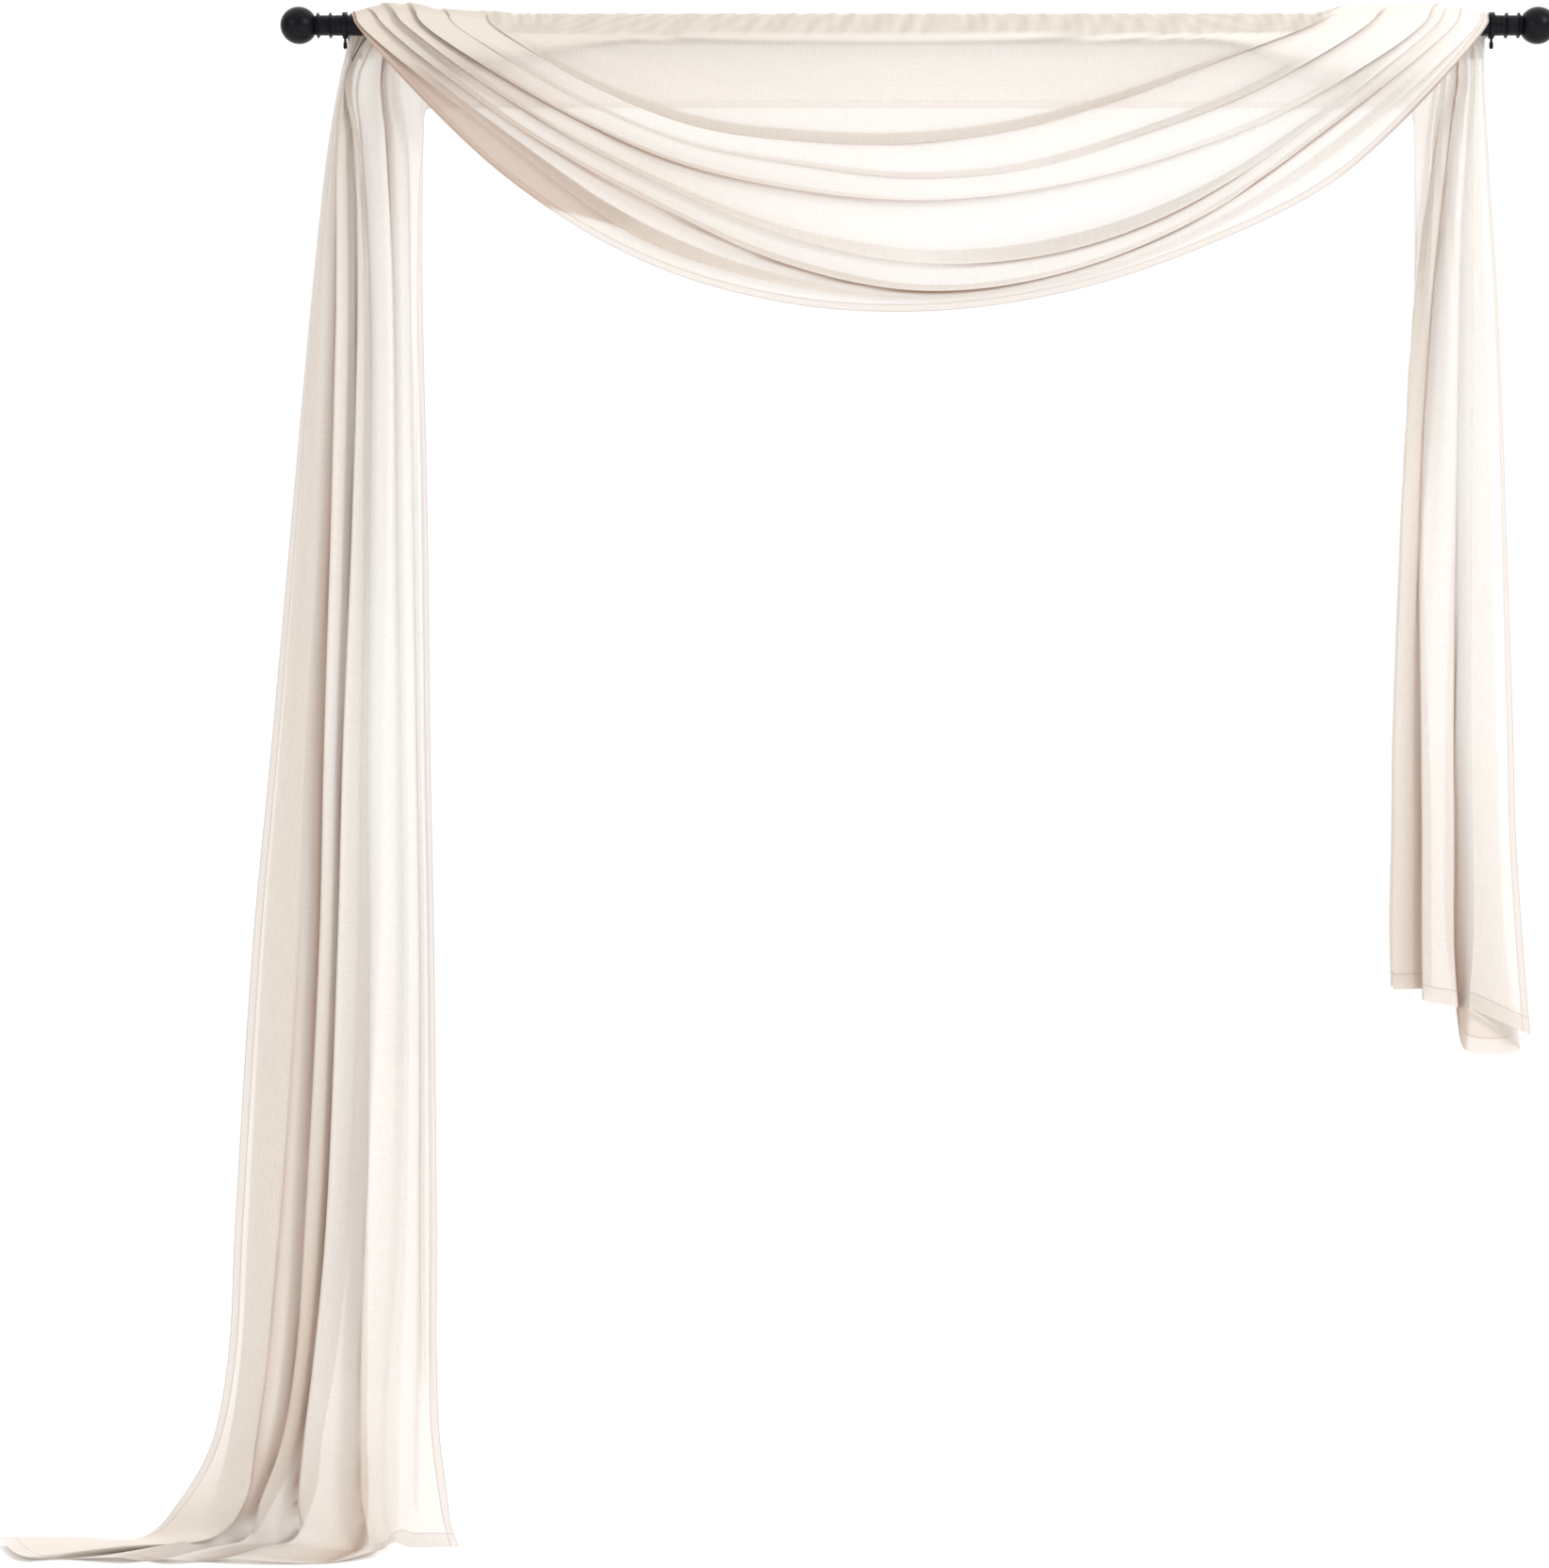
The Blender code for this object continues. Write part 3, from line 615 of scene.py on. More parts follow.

# Painted warm shade: how far the cloth's tone darkens to a warm beige along each line, at levels
# down the tails and along the swag.
LEFT_WARM_SHADE = shares("""
level           100 300 900 1900 2085
edge            .35 .35  .4  .35   .6
hem             .35 .35  .4  .35   .4
low             .35  .4  .5  .75   .2
second_ridge     .4 .25  .2   .7   .2
second          .35 .15  .1   .7   .3
third_ridge     .35  .1 .05  .15   .3
third            .4  .1  .1  .35    1
soft             .5 .25  .1   .4  .55
top              .5 .25 .05   .4   .3
inner            .4  .2  .1   .4   .3
""")
SWAG_START = 20 * MM
SWAG_SPAN = 1540 * MM
SWAG_WARM_SHADE = shares("""
line     0 1/4 1/2 3/4   1
edge    .7  .6 .15 .05 .15
hem     .7 .65 .15 .05 .15
low     .6  .6  .2  .1 .15
second  .6  .6  .1 .05  .1
third   .6 .65  .1 .05  .1
soft   .45  .3 .15 .15 .15
top     .5  .5 .25 .25 .15
inner  .55  .3  .2 .25  .2
""")
RIGHT_WARM_SHADE = shares("""
level     100 600 950 1350 1400
edge        0   0   0  .15   .6
hem       .05   0   0   .4    1
low        .2 .05  .1  .75    1
second    .45  .3  .2  .35   .6
third      .5  .4 .35   .5   .6
soft       .5  .4  .3   .5   .6
top        .5  .4  .3  .45   .6
inner      .5  .4  .3  .45   .6
""")

# How close the cloth lies on itself in the tails' front folds, which hides what is behind them.
LEFT_FIRM = shares("""
level         100 300 900 1900 2085
edge            0   0   0    0   .8
low            .1  .1  .1   .1  .35
second_ridge   .2  .4  .5   .3   .3
second         .2  .4  .5   .3   .2
third_ridge    .1  .4  .5   .3   .1
third          .1  .2  .2   .2   .5
soft_ridge     .1  .1   0   .1   .3
soft            0   0   0    0   .1
inner           0   0   0    0    0
""")
RIGHT_FIRM = shares("""
level   100 600 950 1350
edge      0   0   0   .2
low      .1  .1  .2   .4
second   .2  .2  .3   .3
third    .1  .1  .1   .1
inner     0   0   0    0
""")


def column_of(line):
    """Column of a lip or, with _ridge after its name, of the ridge or tuck before it. For inner it
    is the cloth at the pole's back."""
    if line == "inner":
        return POLE_BACK
    name = line.removesuffix("_ridge")
    return KEY_ACROSS[2 * LIPS.index(name) - (name != line)]


def tail_shade(points, rows, outward, folds, layers):
    """Painted shadow line and painted soft shade at each fold's edge, by the distance seen from the
    room's middle: line * exp(-(gap / width)^2) on both sides and soft * exp(-(gap / reach)^2) on
    the layer behind.
    The gap runs along the pole where the tail hangs, and square to the edge on the floor. The edge
    is the fold's outermost place toward the layer behind."""
    part = points[rows]
    level = np.clip(-part[..., 2], 0, None)
    line, soft = np.zeros((2, *level.shape))
    stops = folds["level"][:4] * MM
    on_floor = smooth(level, *ON_FLOOR)
    plan = np.stack((np.ones_like(level), on_floor, on_floor), axis=-1)
    seen = part.copy()
    view_x, view_y, _ = VIEW_POINT
    seen[..., 0] -= view_x
    seen[..., 0] *= -view_y / (part[..., 1] - view_y)
    columns = np.arange(level.shape[1])
    for name, (first, last) in layers.items():
        here = column_of(name)
        key = np.searchsorted(KEY_ACROSS, here)
        start, end = KEY_ACROSS[[key - 1, key + 1]]
        toward = outward if column_of(first) < here else -outward
        outermost = start + np.argmax(toward * seen[:, start : end + 1, 0], axis=1)
        if first == name:
            outermost[:] = here
        edge = seen[np.arange(len(seen)), outermost][:, None]
        track = unit(np.gradient(edge, axis=0))
        aside = seen - edge
        aside -= on_floor[..., None] * (aside * track).sum(axis=2, keepdims=True) * track
        gap = np.linalg.norm(aside * plan, axis=2)
        numbers = folds[name].reshape(3, 4)
        drawn, strength, reach = (np.interp(level, stops, row) for row in numbers)
        width = TAIL_LINE_WIDTH * (1 + (FLOOR_LINE_WIDTH - 1) * on_floor)
        strength = strength * (1 - (1 - FLOOR_SHADE) * on_floor)
        behind = (columns >= column_of(first)) & (columns <= column_of(last))
        beside = behind | (columns >= start) & (columns <= end)
        line = np.maximum(line, beside * drawn * np.exp(-((gap / width) ** 2)))
        soft = np.maximum(soft, behind * strength * np.exp(-((gap / (reach * MM)) ** 2)))
    return line, soft


def swag_shade(points, rows):
    """Painted shadow line and soft shade on each fold, by the distance d below the lip above it or
    above its own lip: line * exp(-(d / width)^2), band * exp(-d / reach) and roll * exp(-d /
    reach)."""
    part = points[rows][..., (0, 2)]
    way = (np.arange(*rows.indices(len(points))) - LEFT_FRONT) / (RIGHT_FRONT - LEFT_FRONT)
    line, soft = np.zeros((2, *part.shape[:2]))
    for name in FOLDS:
        key = 2 * LIPS.index(name)
        lower, tuck, upper, next_tuck = KEY_ACROSS[key - 2 : key + 2]
        down = part[:, lower] - part[:, upper]
        width = np.linalg.norm(down, axis=1, keepdims=True) + 1e-9
        aside = ((part - part[:, upper : upper + 1]) * (down / width)[:, None]).sum(axis=2)
        band = slice(lower, tuck + 1)
        roll = slice(upper, next_tuck + 1)
        below = np.clip(aside[:, band], 0, None)
        above = np.clip(-aside[:, roll], 0, None)
        lines, bands, rolls = (
            np.interp(way, np.arange(9) / 8, written[name][:9])[:, None]
            for written in (SWAG_LINES, SWAG_BANDS, SWAG_ROLLS)
        )
        line[:, band] = lines * np.exp(-((below / LINE_WIDTH) ** 2))
        soft[:, band] = bands * np.exp(-below / (SWAG_BANDS[name][9] * MM))
        rolled = rolls * np.exp(-above / (SWAG_ROLLS[name][9] * MM))
        soft[:, roll] = np.maximum(soft[:, roll], rolled)
        if name == FOLDS[0]:
            fill = np.interp(way * 8, UNDER_LAYER_STOPS, UNDER_LAYER_FILL)[:, None]
            past = smooth(below / width - fill, -UNDER_LAYER_BLUR, UNDER_LAYER_BLUR)
            soft[:, band] = np.maximum(soft[:, band], UNDER_LAYER_SHADE * (1 - past))
    over_tail = np.interp(way, OVER_TAIL_STOPS, OVER_TAIL_LINE)[:, None]
    line[:, :2] = np.maximum(line[:, :2], over_tail)
    return line, soft


def scarf_shade(points):
    """Painted shadow lines at the creases and painted soft shade over the whole scarf, each 0 to 1.
    """
    tail, swag = np.zeros((2, 2, *points.shape[:2]))
    left = slice(0, LEFT_FRONT)
    right = slice(RIGHT_FRONT, len(points))
    middle = slice(LEFT_TOP, RIGHT_TOP + 1)
    tail[:, left] = tail_shade(points, left, -1, LEFT_FOLDS, LEFT_LAYERS)
    tail[:, right] = tail_shade(points, right, 1, RIGHT_FOLDS, RIGHT_LAYERS)
    swag[:, middle] = swag_shade(points, middle)
    return mix(tail, swag, in_swag(points))


def rows_across(written, columns):
    """A row of numbers across the scarf for each stop of a table."""
    lines = [name for name in written if name != "level"]
    places = [column_of(name) for name in lines]
    return [np.interp(columns, places, stop) for stop in np.array([written[n] for n in lines]).T]


def tail_tone(points, left, right):
    """Numbers over the tails, read between the lines across and between the levels down."""
    columns = np.arange(points.shape[1])
    level = -points[..., 2]
    rows = row_numbers(points)
    total = 0
    for written, weight in (
        (left, 1 - smooth(rows, LEFT_BACK, LEFT_FRONT)),
        (right, smooth(rows, RIGHT_FRONT, RIGHT_BACK)),
    ):
        across = rows_across(written, columns)
        total = total + weight * mix_stops(level, written["level"] * MM, across)
    return total


def painted_warm_shade(points):
    """Painted warm shade over the whole scarf: the tails' tables, and between them the swag's."""
    way = np.clip((points[..., 0] - SWAG_START) / SWAG_SPAN, 0, 1)
    across = rows_across(SWAG_WARM_SHADE, np.arange(points.shape[1]))
    swag = mix_stops(way, np.linspace(0, 1, len(across)), across)
    return tail_tone(points, LEFT_WARM_SHADE, RIGHT_WARM_SHADE) + in_swag(points) * swag


def mix_stops(value, stops, rows):
    """Rows of numbers blended at each point by where its value lies between the stops."""
    total = 0
    for at, row in enumerate(rows):
        peak = np.zeros(len(stops))
        peak[at] = 1
        total = total + np.interp(value, stops, peak) * row
    return total


# Ruched band of bare cloth on the pole: its waves in radians to the metre, its height, and its lift
# off the pole in that height.
RUCHE_WAVES = (310, 47, 122, 90)
RUCHE_HEIGHT = 0.9 * MM
RUCHE_LIFT = 0.6
BAND_ENDS = 4  # rows on each side of its ends over which it fades
BAND_FADE = 3 * MM
TURN_FLATTENS = 0.8  # share of the gathers' height lost at the turns over the pole
TURN_BLEND = 6  # rows over which they are lost
CLOTH_ON_FLOOR = 0.5 * MM  # lowest that the cloth lies over the floor

# How far under the pole the cloth on it turns sheer, and how much further where the folds are
# piled at the swag's ends, with the places along the pole over which that fades.
FADE = 10 * MM
LEFT_FADE = 70 * MM
RIGHT_FADE = 100 * MM
LEFT_PILE = (90 * MM, 420 * MM)
RIGHT_PILE = (1180 * MM, 1420 * MM)
# Painted shade on the cloth over the pole, where the black pole backs it: the ruched band and the
# piled folds darken toward a pole tone, by its puckers in the band, more where the piled folds face
# up and less toward the right, and the piled folds get painted warm shade.
RIGHTWARD = (300 * MM, 1300 * MM)  # places over which the piled folds' painted shade changes to the right's
PILED_WARM_SHADE = (0.45, 0.15)  # their painted warm shade at the left and at the right
PILED_SHADE_FADE = 0.75  # share of their painted pole shade that they lose at the right
BAND_SHADE = (0.78, 0.22)  # painted pole shade's share in the band: everywhere and in its puckers
PILED_SHADE = (0.4, 0.4)  # and in the piled folds: everywhere and where they face up
FACING_UP = (0.2, 0.9)  # rises of the normal between which cloth comes to face up

SIDE_HEM = 11 * MM
END_HEM = 22 * MM
STITCH_LINE = 0.8 * MM
EDGE_LINE = 1.4 * MM


def add_object(name, data):
    """A new object at the origin of the scene."""
    made = bpy.data.objects.new(name, data)
    bpy.context.scene.collection.objects.link(made)
    return made


def add_mesh(name, points, uv=None, values=None, closed=False):
    """A mesh of four-sided faces over a grid [row, column, xyz], with a UV map and named values."""
    rows, columns = points.shape[:2]
    index = np.arange(rows * columns).reshape(rows, columns)
    if closed:
        index = np.concatenate((index, index[:, :1]), axis=1)
    corners = (index[:-1, :-1], index[:-1, 1:], index[1:, 1:], index[1:, :-1])
    faces = np.stack(corners, axis=-1).reshape(-1, 4)
    mesh = bpy.data.meshes.new(name)
    mesh.from_pydata(points.reshape(-1, 3), [], faces)
    mesh.shade_smooth()
    if uv is not None:
        layer = mesh.uv_layers.new(name="weave")
        corner_uv = uv.reshape(-1, 2)[faces.reshape(-1)]
        layer.data.foreach_set("uv", corner_uv.astype(np.float32).ravel())
    for key, value in (values or {}).items():
        attribute = mesh.attributes.new(key, "FLOAT", "POINT")
        attribute.data.foreach_set("value", value.astype(np.float32).ravel())
    return add_object(name, mesh)


def bare_on_pole(points):
    """How far each place belongs to the ruched band: cloth on the pole with no fold over it."""
    columns = np.arange(points.shape[1])
    in_front = smooth(points[..., 2], -POLE_RADIUS - BAND_FADE, -POLE_RADIUS)
    in_front = in_front * (columns > column_of("top")) * (columns <= POLE_FRONT)
    around = hump(columns, (POLE_FRONT - 1, POLE_FRONT), (POLE_BACK - 2, POLE_BACK + 10))
    ends = [(back - BAND_ENDS, back + BAND_ENDS) for back in (LEFT_BACK, RIGHT_BACK)]
    return np.maximum(in_front, around) * hump(row_numbers(points), *ends)


def ruches(points):
    """Small puckers, -1 to 1: sin(a x + 2 sin(b x)) * sin(c x + d z)."""
    a, b, c, d = RUCHE_WAVES
    x = points[..., 0]
    return np.sin(x * a + 2 * np.sin(x * b)) * np.sin(x * c + points[..., 2] * d)


def backed_by_pole(points):
    """How much the pole and the piled folds back the cloth, fading out under the pole."""
    x = points[..., 0]
    fade = FADE + LEFT_FADE * (1 - smooth(x, *LEFT_PILE)) + RIGHT_FADE * smooth(x, *RIGHT_PILE)
    over = smooth(points[..., 2], -POLE_RADIUS - fade, -POLE_RADIUS - 5 * MM)
    return over * hump(row_numbers(points), (LEFT_TOP, LEFT_BACK), (RIGHT_BACK, RIGHT_TOP))


def make_scarf():
    """The scarf: its folds, gathers, ruched band on the pole and the values its finish reads."""
    points = crisp_pleats(scarf_surface())
    across = run(points, 1)
    taken = across[:, -1:]
    cloth_u = across / taken * SCARF_WIDTH
    along = run(points, 0)
    cloth_v = along / along[-1:] * SCARF_LENGTH
    height = gathers(cloth_u, cloth_v, SCARF_WIDTH / taken)
    rows = row_numbers(points)
    height = height * np.where((rows < LEFT_BACK) | (rows > RIGHT_BACK), TAIL_GATHERS, 1)
    turns = sum(
        hump(rows, (start - TURN_BLEND, start), (end, end + TURN_BLEND))
        for start, end in ((LEFT_BACK, LEFT_FRONT), (RIGHT_FRONT, RIGHT_BACK))
    )
    band = bare_on_pole(points)
    ruche_and_shade = ruches(points)
    height = height * (1 - band) * (1 - TURN_FLATTENS * turns)
    height = height + band * RUCHE_HEIGHT * (ruche_and_shade + RUCHE_LIFT)
    normal = normals(points)
    line, shade = scarf_shade(points)
    warm = painted_warm_shade(points)
    points = points + normal * height[..., None]
    points[..., 2] = np.maximum(points[..., 2], CLOTH_ON_FLOOR - FLOOR_DROP)
    dense = backed_by_pole(points)
    piled = dense * (1 - band)
    rightward = smooth(points[..., 0], *RIGHTWARD)
    facing_up = smooth(np.abs(normal[..., 2]), *FACING_UP)
    # Values the finish reads: painted shadow lines, soft shade, warm shade and pole shade, and how
    # dense the cloth is.
    values = {
        "line": line,
        "shade": shade,
        "warm": np.maximum(warm, piled * mix(*PILED_WARM_SHADE, rightward)),
        "dense": np.maximum(dense, tail_tone(points, LEFT_FIRM, RIGHT_FIRM)),
        "ruche_and_shade": band * (BAND_SHADE[0] + BAND_SHADE[1] * ruche_and_shade)
        + piled * (1 - PILED_SHADE_FADE * rightward) * (PILED_SHADE[0] + PILED_SHADE[1] * facing_up),
    }
    return add_mesh("voile_scarf", points, np.stack((cloth_u, cloth_v), axis=-1), values)


# ---- turned fittings ----
def finial_profile():
    """Outline (distance from the bracket, radius) from the sleeve's open end to the ball's tip: a
    sleeve with two rings, each a raised cosine, a cove up to the ball, and the ball's circle."""
    meet = np.arcsin(NECK_RADIUS / BALL_RADIUS)
    neck = BALL_FROM_BRACKET - BALL_RADIUS * np.cos(meet)
    x = np.linspace(SLEEVE_START, neck, 90)
    radius = np.full_like(x, SLEEVE_RADIUS)
    for centre in FINIAL_RINGS:
        t = np.clip(np.abs(x - centre) / RING_HALF_WIDTH, 0, 1)
        ring = (0.5 + 0.5 * np.cos(np.pi * t)) ** RING_CREST
        radius = radius + (RING_RADIUS - POLE_RADIUS) * ring
    cove = smooth(x, COVE_START, neck)
    radius = radius - (POLE_RADIUS - NECK_RADIUS) * cove
    radius[-1] = NECK_RADIUS
    angle = np.linspace(np.pi - meet, 0, 60)[1:]
    ball_x = BALL_FROM_BRACKET + BALL_RADIUS * np.cos(angle)
    ball_radius = np.maximum(BALL_RADIUS * np.sin(angle), TIP_RADIUS)
    return (
        np.concatenate(((SLEEVE_START, SLEEVE_START), x + RIM_EDGE, ball_x)),
        np.concatenate(((TIP_RADIUS, RIM_RADIUS), radius, ball_radius)),
    )


def turned(name, along, radius, bracket_x, outward):
    """A piece turned about the pole's axis, outward from a bracket: (along, radius cos t,
    radius sin t) over a full turn of t."""
    turn = FULL_TURN * -outward
    radius = radius[:, None]
    x = bracket_x + outward * along[:, None]
    points = xyz(x, POLE_Y + radius * np.cos(turn), radius * np.sin(turn))
    return add_mesh(name, points, closed=True)


def make_finials(finish):
    """Both ball finials, in place of the plain ones."""
    along, radius = finial_profile()
    for side, bracket_x, outward in (("left", 0.0, -1), ("right", BRACKET_SPAN, 1)):
        finial = turned(f"ball_finial_{side}", along, radius, bracket_x, outward)
        finial.data.materials.append(finish)
        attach(finial, "root")
        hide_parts(f"finial_{side}")


# ---- finishes ----
def new_finish(name):
    """An empty node material and its tree."""
    made = bpy.data.materials.new(name)
    made.use_nodes = True
    made.node_tree.nodes.clear()
    return made, made.node_tree


def feed(tree, socket, value):
    """Link a socket to another node's, or give it a number or colour of its own."""
    if isinstance(value, bpy.types.NodeSocket):
        tree.links.new(value, socket)
    else:
        socket.default_value = value


def add_node(tree, kind, **inputs):
    """A node with what feeds its inputs, each named with _ for a space."""
    node = tree.nodes.new("ShaderNode" + kind)
    for name, value in inputs.items():
        feed(tree, node.inputs[name.replace("_", " ")], value)
    return node


def value_of(tree, key):
    """A named value of the mesh."""
    node = add_node(tree, "Attribute")
    node.attribute_name = key
    return node.outputs["Fac"]


def calculate(tree, operation, *values):
    """A Math node's result on sockets or numbers."""
    node = add_node(tree, "Math")
    node.operation = operation
    for socket, value in zip(node.inputs, values):
        feed(tree, socket, value)
    return node.outputs[0]


def ramp(tree, value, start, end, low, high, kind="SMOOTHSTEP"):
    """A number that goes from low to high while the value goes from start to end."""
    inputs = {"From_Min": start, "From_Max": end, "To_Min": low, "To_Max": high}
    node = add_node(tree, "MapRange", Value=value, **inputs)
    node.interpolation_type = kind
    return node.outputs["Result"]


def blend_colour(tree, factor, first, second):
    """A colour between two, by a factor socket."""
    node = add_node(tree, "Mix")
    node.data_type = "RGBA"
    feed(tree, node.inputs["Factor"], factor)
    for socket, colour in zip(node.inputs[6:8], (first, second)):
        feed(tree, socket, (*colour, 1.0) if isinstance(colour, tuple) else colour)
    return node.outputs[2]


def mix_shaders(tree, factor, first, second):
    """Two shading nodes mixed by a factor socket."""
    node = add_node(tree, "MixShader")
    for socket, value in zip(node.inputs, (factor, first.outputs[0], second.outputs[0])):
        feed(tree, socket, value)
    return node


# The cloth's own light and slub tones and its hem's tone; the warm shade, crease shade and pole
# shade tones are painted shade, and the line tone is that of painted shadow lines and stitches.
CLOTH_LIGHT = (0.885, 0.868, 0.842)
CLOTH_SLUB = (0.87, 0.85, 0.82)
WARM_SHADE_TONE = (0.70, 0.60, 0.51)
CREASE_SHADE_TONE = (0.47, 0.335, 0.255)
SHADOW_AND_STITCH_TONE = (0.30, 0.185, 0.14)
HEM_TONE = (0.76, 0.715, 0.665)
POLE_SHADE_TONE = (0.57, 0.52, 0.45)
SHADE_POWER = 1.2
SHADE_DEPTH = 0.8
STITCH_DEPTH = 0.35
LIGHT_THROUGH = 0.42  # share of the threads' light that comes out behind them

# Threads, and the uneven places along them, to the metre of cloth.
THREADS = 1900.0
THREAD_RUN = 30.0
SLUBS = (26.0, 5.0, 1.0)

# Share of the cloth that threads cover in the open weave and at most, and what each value adds.
OPEN_COVER = 0.46
MOST_COVER = 0.985
COVER = (0.22, 0.22, 0.4, 0.16, 0.5)  # thread, shade, line, hem, dense


def voile_finish():
    """Sheer voile: a weave of fine uneven threads, denser and pinker in its hems, with painted
    shade:
    denser, darker and pinker in its creases and under its folds' edges, warm beige where shade
    falls and darker on the pole.
    Light passes straight through the gaps and partly through the threads."""
    finish, tree = new_finish("sheer_voile_cloth")
    weave = add_node(tree, "UVMap")
    weave.uv_map = "weave"
    cloth_place = weave.outputs["UV"]
    split = add_node(tree, "SeparateXYZ", Vector=cloth_place)
    line, shade, warm, dense, ruche_and_shade = (
        value_of(tree, key) for key in ("line", "shade", "warm", "dense", "ruche_and_shade")
    )

    def find(operation, *values):
        return calculate(tree, operation, *values)

    def from_edges(axis, size):
        place = split.outputs[axis]
        return find("MINIMUM", place, find("SUBTRACT", size, place))

    def threads(scale, detail):
        place = add_node(tree, "Mapping", Scale=scale, Vector=cloth_place)
        noise = {"Scale": 1.0, "Detail": detail, "Vector": place.outputs["Vector"]}
        return add_node(tree, "TexNoise", **noise).outputs["Fac"]

    from_side = from_edges("X", SCARF_WIDTH)
    from_end = from_edges("Y", SCARF_LENGTH)
    hem = 0.0
    stitch = find("LESS_THAN", from_side, EDGE_LINE)
    for inside, hem_width in ((from_side, SIDE_HEM), (from_end, END_HEM)):
        hem = find("MAXIMUM", hem, find("LESS_THAN", inside, hem_width))
        stitch = find("MAXIMUM", stitch, find("COMPARE", inside, hem_width, STITCH_LINE))
    line = find("MAXIMUM", line, find("MULTIPLY", stitch, STITCH_DEPTH))

    weft = threads((THREAD_RUN, THREADS, 1.0), 1.0)
    warp = threads((THREADS, THREAD_RUN, 1.0), 1.0)
    thread = find("ADD", weft, warp)
    tone = blend_colour(tree, threads(SLUBS, 3.0), CLOTH_SLUB, CLOTH_LIGHT)
    # Painted shade: warm shade, pole shade, soft shade and shadow lines darken the tone; the hem
    # tone is the cloth's own, and the stitches share the line tone.
    crease = find("MULTIPLY", find("POWER", shade, SHADE_POWER), SHADE_DEPTH)
    tones = (WARM_SHADE_TONE, HEM_TONE, POLE_SHADE_TONE, CREASE_SHADE_TONE, SHADOW_AND_STITCH_TONE)
    for factor, colour in zip((warm, hem, ruche_and_shade, crease, line), tones):
        tone = blend_colour(tree, factor, tone, colour)
    bump = add_node(tree, "Bump", Strength=0.25, Distance=0.3 * MM, Height=thread)
    body = add_node(
        tree,
        "BsdfPrincipled",
        Base_Color=tone,
        Roughness=0.85,
        Specular_IOR_Level=0.2,
        Sheen_Weight=0.15,
        Sheen_Roughness=0.4,
        Normal=bump.outputs["Normal"],
    )
    glow = add_node(tree, "BsdfTranslucent", Color=tone)
    through = find("MULTIPLY_ADD", dense, -LIGHT_THROUGH, LIGHT_THROUGH)
    # Painted shade and shadow lines make the cloth denser too, as the threads, hem and folds do.
    cover = OPEN_COVER
    for value, share in zip((thread, shade, line, hem, dense), COVER):
        cover = find("MULTIPLY_ADD", value, share, cover)
    cover = find("MINIMUM", cover, MOST_COVER)
    cloth = mix_shaders(tree, through, body, glow)
    sheer = mix_shaders(tree, cover, add_node(tree, "BsdfTransparent"), cloth)
    add_node(tree, "OutputMaterial", Surface=sheer.outputs["Shader"])
    return finish


COAT_DARK = (0.004, 0.004, 0.006)
COAT_PALE = (0.009, 0.009, 0.012)


def metal_finish():
    """Satin black powder coat: a fine pebbled skin, a touch uneven in its gloss."""
    finish, tree = new_finish("satin_black_coat")
    place = add_node(tree, "TexCoord").outputs["Object"]
    pebble = add_node(tree, "TexNoise", Scale=900.0, Detail=2.0, Vector=place).outputs["Fac"]
    cloud = add_node(tree, "TexNoise", Scale=45.0, Detail=3.0, Vector=place).outputs["Fac"]
    bump = add_node(tree, "Bump", Strength=0.12, Distance=0.2 * MM, Height=pebble)
    body = add_node(
        tree,
        "BsdfPrincipled",
        Base_Color=blend_colour(tree, cloud, COAT_DARK, COAT_PALE),
        Metallic=0.0,
        Roughness=ramp(tree, cloud, 0.0, 1.0, 0.26, 0.42, "LINEAR"),
        Specular_IOR_Level=0.1,
        Normal=bump.outputs["Normal"],
    )
    add_node(tree, "OutputMaterial", Surface=body.outputs["BSDF"])
    return finish


def floor_finish():
    """Plain matt pale floor."""
    finish, tree = new_finish("pale_floor")
    colour = (0.93, 0.93, 0.93, 1.0)
    body = add_node(
        tree, "BsdfPrincipled", Base_Color=colour, Roughness=0.9, Specular_IOR_Level=0.1
    )
    add_node(tree, "OutputMaterial", Surface=body.outputs["BSDF"])
    return finish


# ---- studio ----
FLOOR_RADIUS = 9.0
WINDOW_LIGHT = 1.04
ROOM_LIGHT = 0.42
OVERHEAD_LIGHT = 1.0
ROOM_TINT = (1.0, 0.97, 0.94)
WINDOW_TINT = (1.0, 1.0, 1.0)
LAMP_TARGET = (0.6, -0.12, -0.9)
LAMPS = {  # place, size across and power
    "key_right": ((4.4, -4.0, 1.9), 2.4, 160),
    "fill_left": ((-3.6, -4.4, 0.8), 3.0, 62),
}
SENSOR_WIDTH = 36.0
FOCAL_LENGTH = 3846.15 / 1644  # in widths of the view


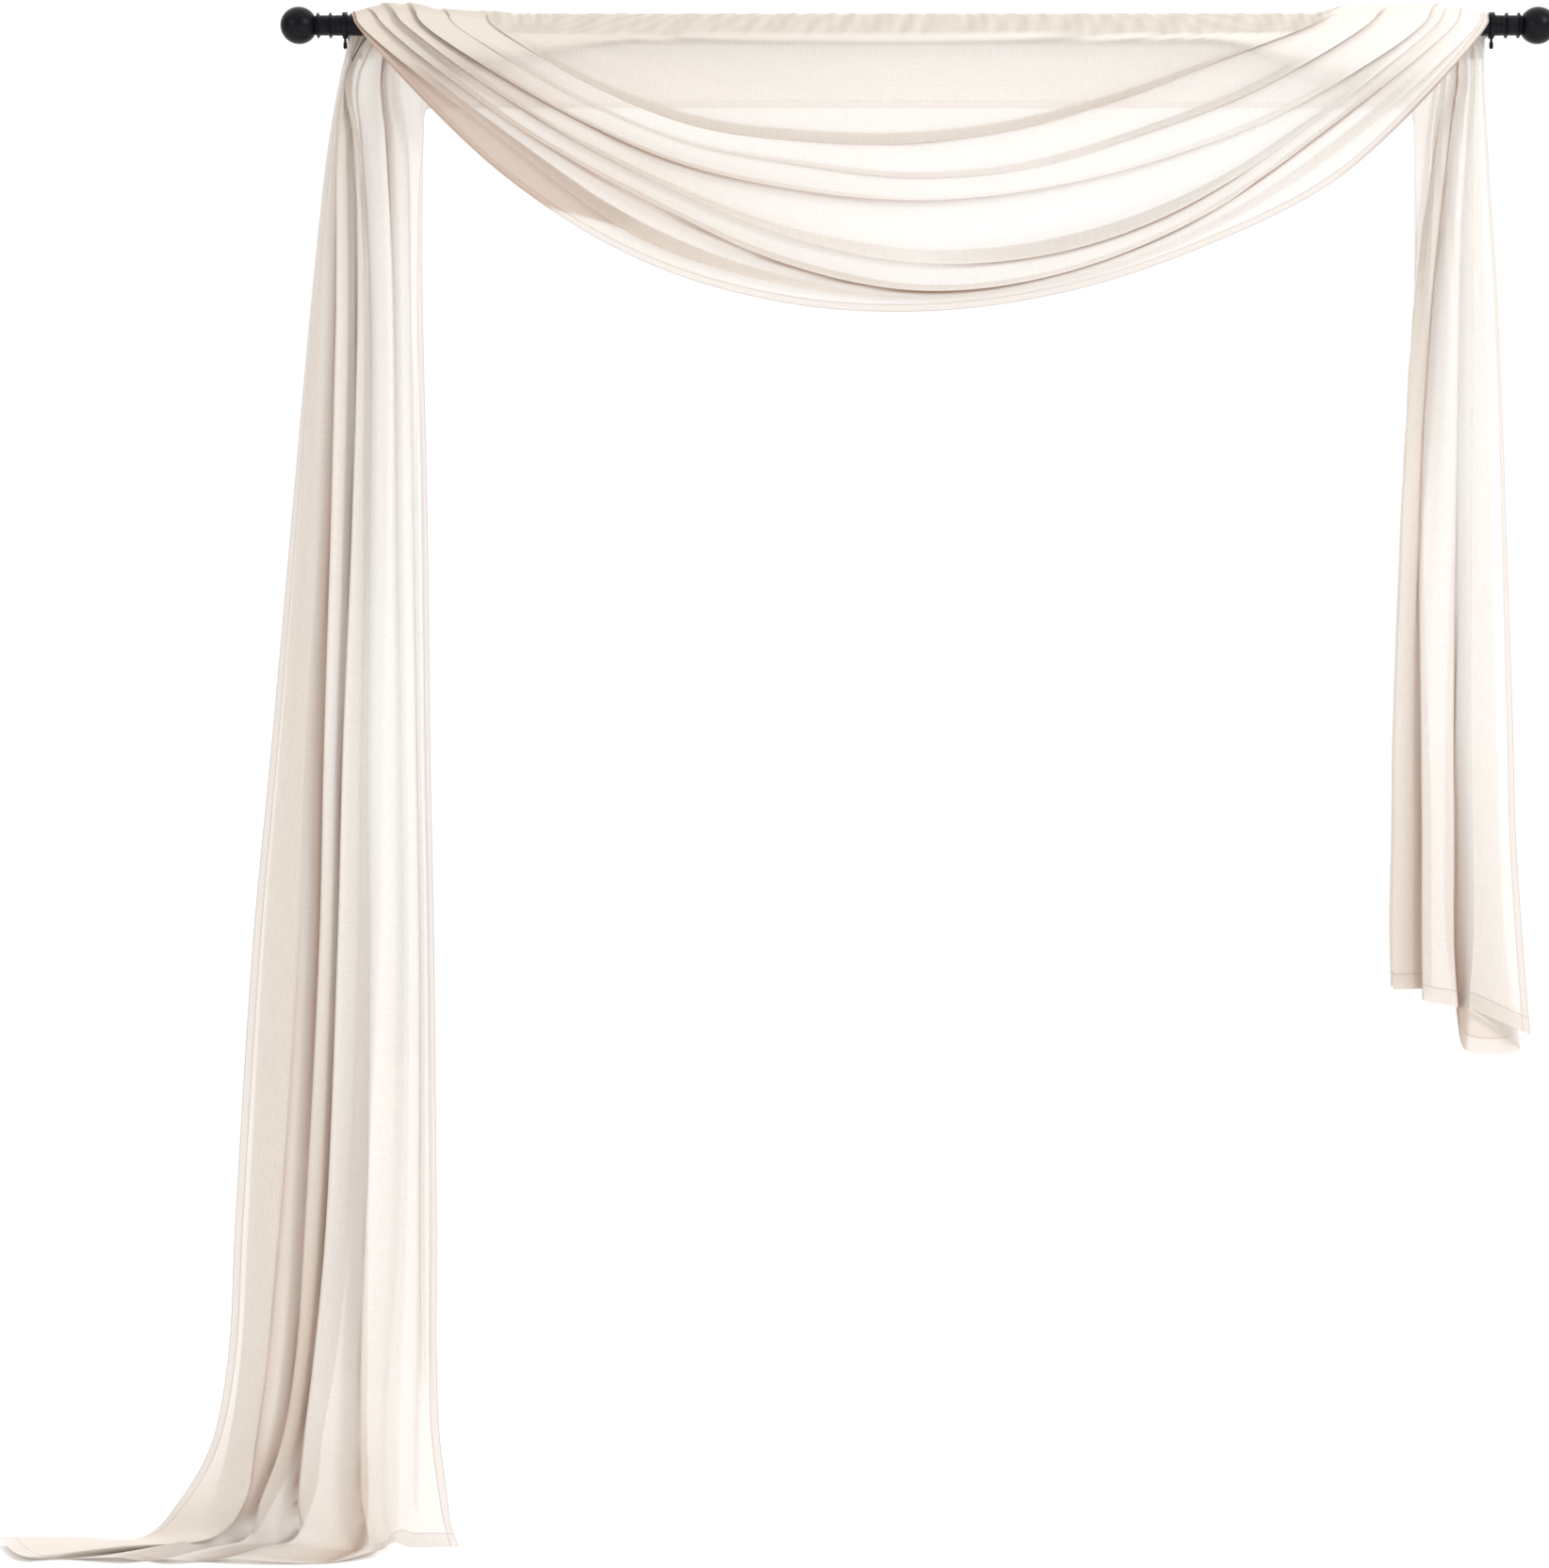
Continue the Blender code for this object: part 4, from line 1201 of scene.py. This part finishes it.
def make_air():
    """Pale air all round: brighter overhead and toward the window side (+Y), softer in the room."""
    air = bpy.data.worlds.new("studio_air")
    air.use_nodes = True
    tree = air.node_tree
    place = add_node(tree, "TexCoord").outputs["Generated"]
    split = add_node(tree, "SeparateXYZ", Vector=place)
    around = ramp(tree, split.outputs["Y"], -0.2, 0.85, ROOM_LIGHT, WINDOW_LIGHT)
    overhead = ramp(tree, split.outputs["Z"], 0.3, 1.0, 0.0, OVERHEAD_LIGHT)
    toward_window = ramp(tree, split.outputs["Y"], -0.2, 0.6, 0.0, 1.0, "LINEAR")
    tint = blend_colour(tree, toward_window, ROOM_TINT, WINDOW_TINT)
    background = tree.nodes["Background"]
    feed(tree, background.inputs["Strength"], calculate(tree, "ADD", around, overhead))
    feed(tree, background.inputs["Color"], tint)
    bpy.context.scene.world = air


def add_lamp(name, place, size, power):
    """A round soft lamp, out of the camera's sight, aimed at the drape."""
    light = bpy.data.lights.new(name, "AREA")
    light.shape = "DISK"
    light.size = size
    light.energy = power
    made = add_object(name, light)
    made.location = place
    aim = Vector(LAMP_TARGET) - Vector(place)
    made.rotation_euler = aim.to_track_quat("-Z", "Y").to_euler()
    made.visible_camera = False


def make_studio():
    """A round pale floor, the air, soft lamps and the camera."""
    radius = np.concatenate(([0.2 * MM], np.linspace(0.3, FLOOR_RADIUS, 30)))[:, None]
    x = LAMP_TARGET[0] + radius * np.cos(FULL_TURN)
    points = xyz(x, POLE_Y + radius * np.sin(FULL_TURN), -FLOOR_DROP)
    floor = add_mesh("studio_floor", points, closed=True)
    floor.data.materials.append(floor_finish())
    make_air()
    for name, lamp in LAMPS.items():
        add_lamp(name, *lamp)

    camera_data = bpy.data.cameras.new("camera")
    camera_data.sensor_fit = "HORIZONTAL"
    camera_data.sensor_width = SENSOR_WIDTH
    camera_data.lens = SENSOR_WIDTH * FOCAL_LENGTH
    camera = add_object("camera", camera_data)
    camera.location = VIEW_POINT
    camera.rotation_euler = (np.pi / 2, 0.0, 0.0)
    bpy.context.scene.camera = camera
    bpy.context.scene.view_settings.view_transform = "Standard"


def dress_frame():
    """Put the finishes on the fittings that stay and the new pieces on the frame."""
    metal = metal_finish()
    for node in ("pole", "bracket_left", "bracket_right", "screw_left", "screw_right"):
        for slot in bpy.data.objects[node].material_slots:
            slot.material = metal
    make_finials(metal)
    scarf = make_scarf()
    scarf.data.materials.append(voile_finish())
    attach(scarf, "root")
    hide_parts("scarf")


make_studio()
dress_frame()
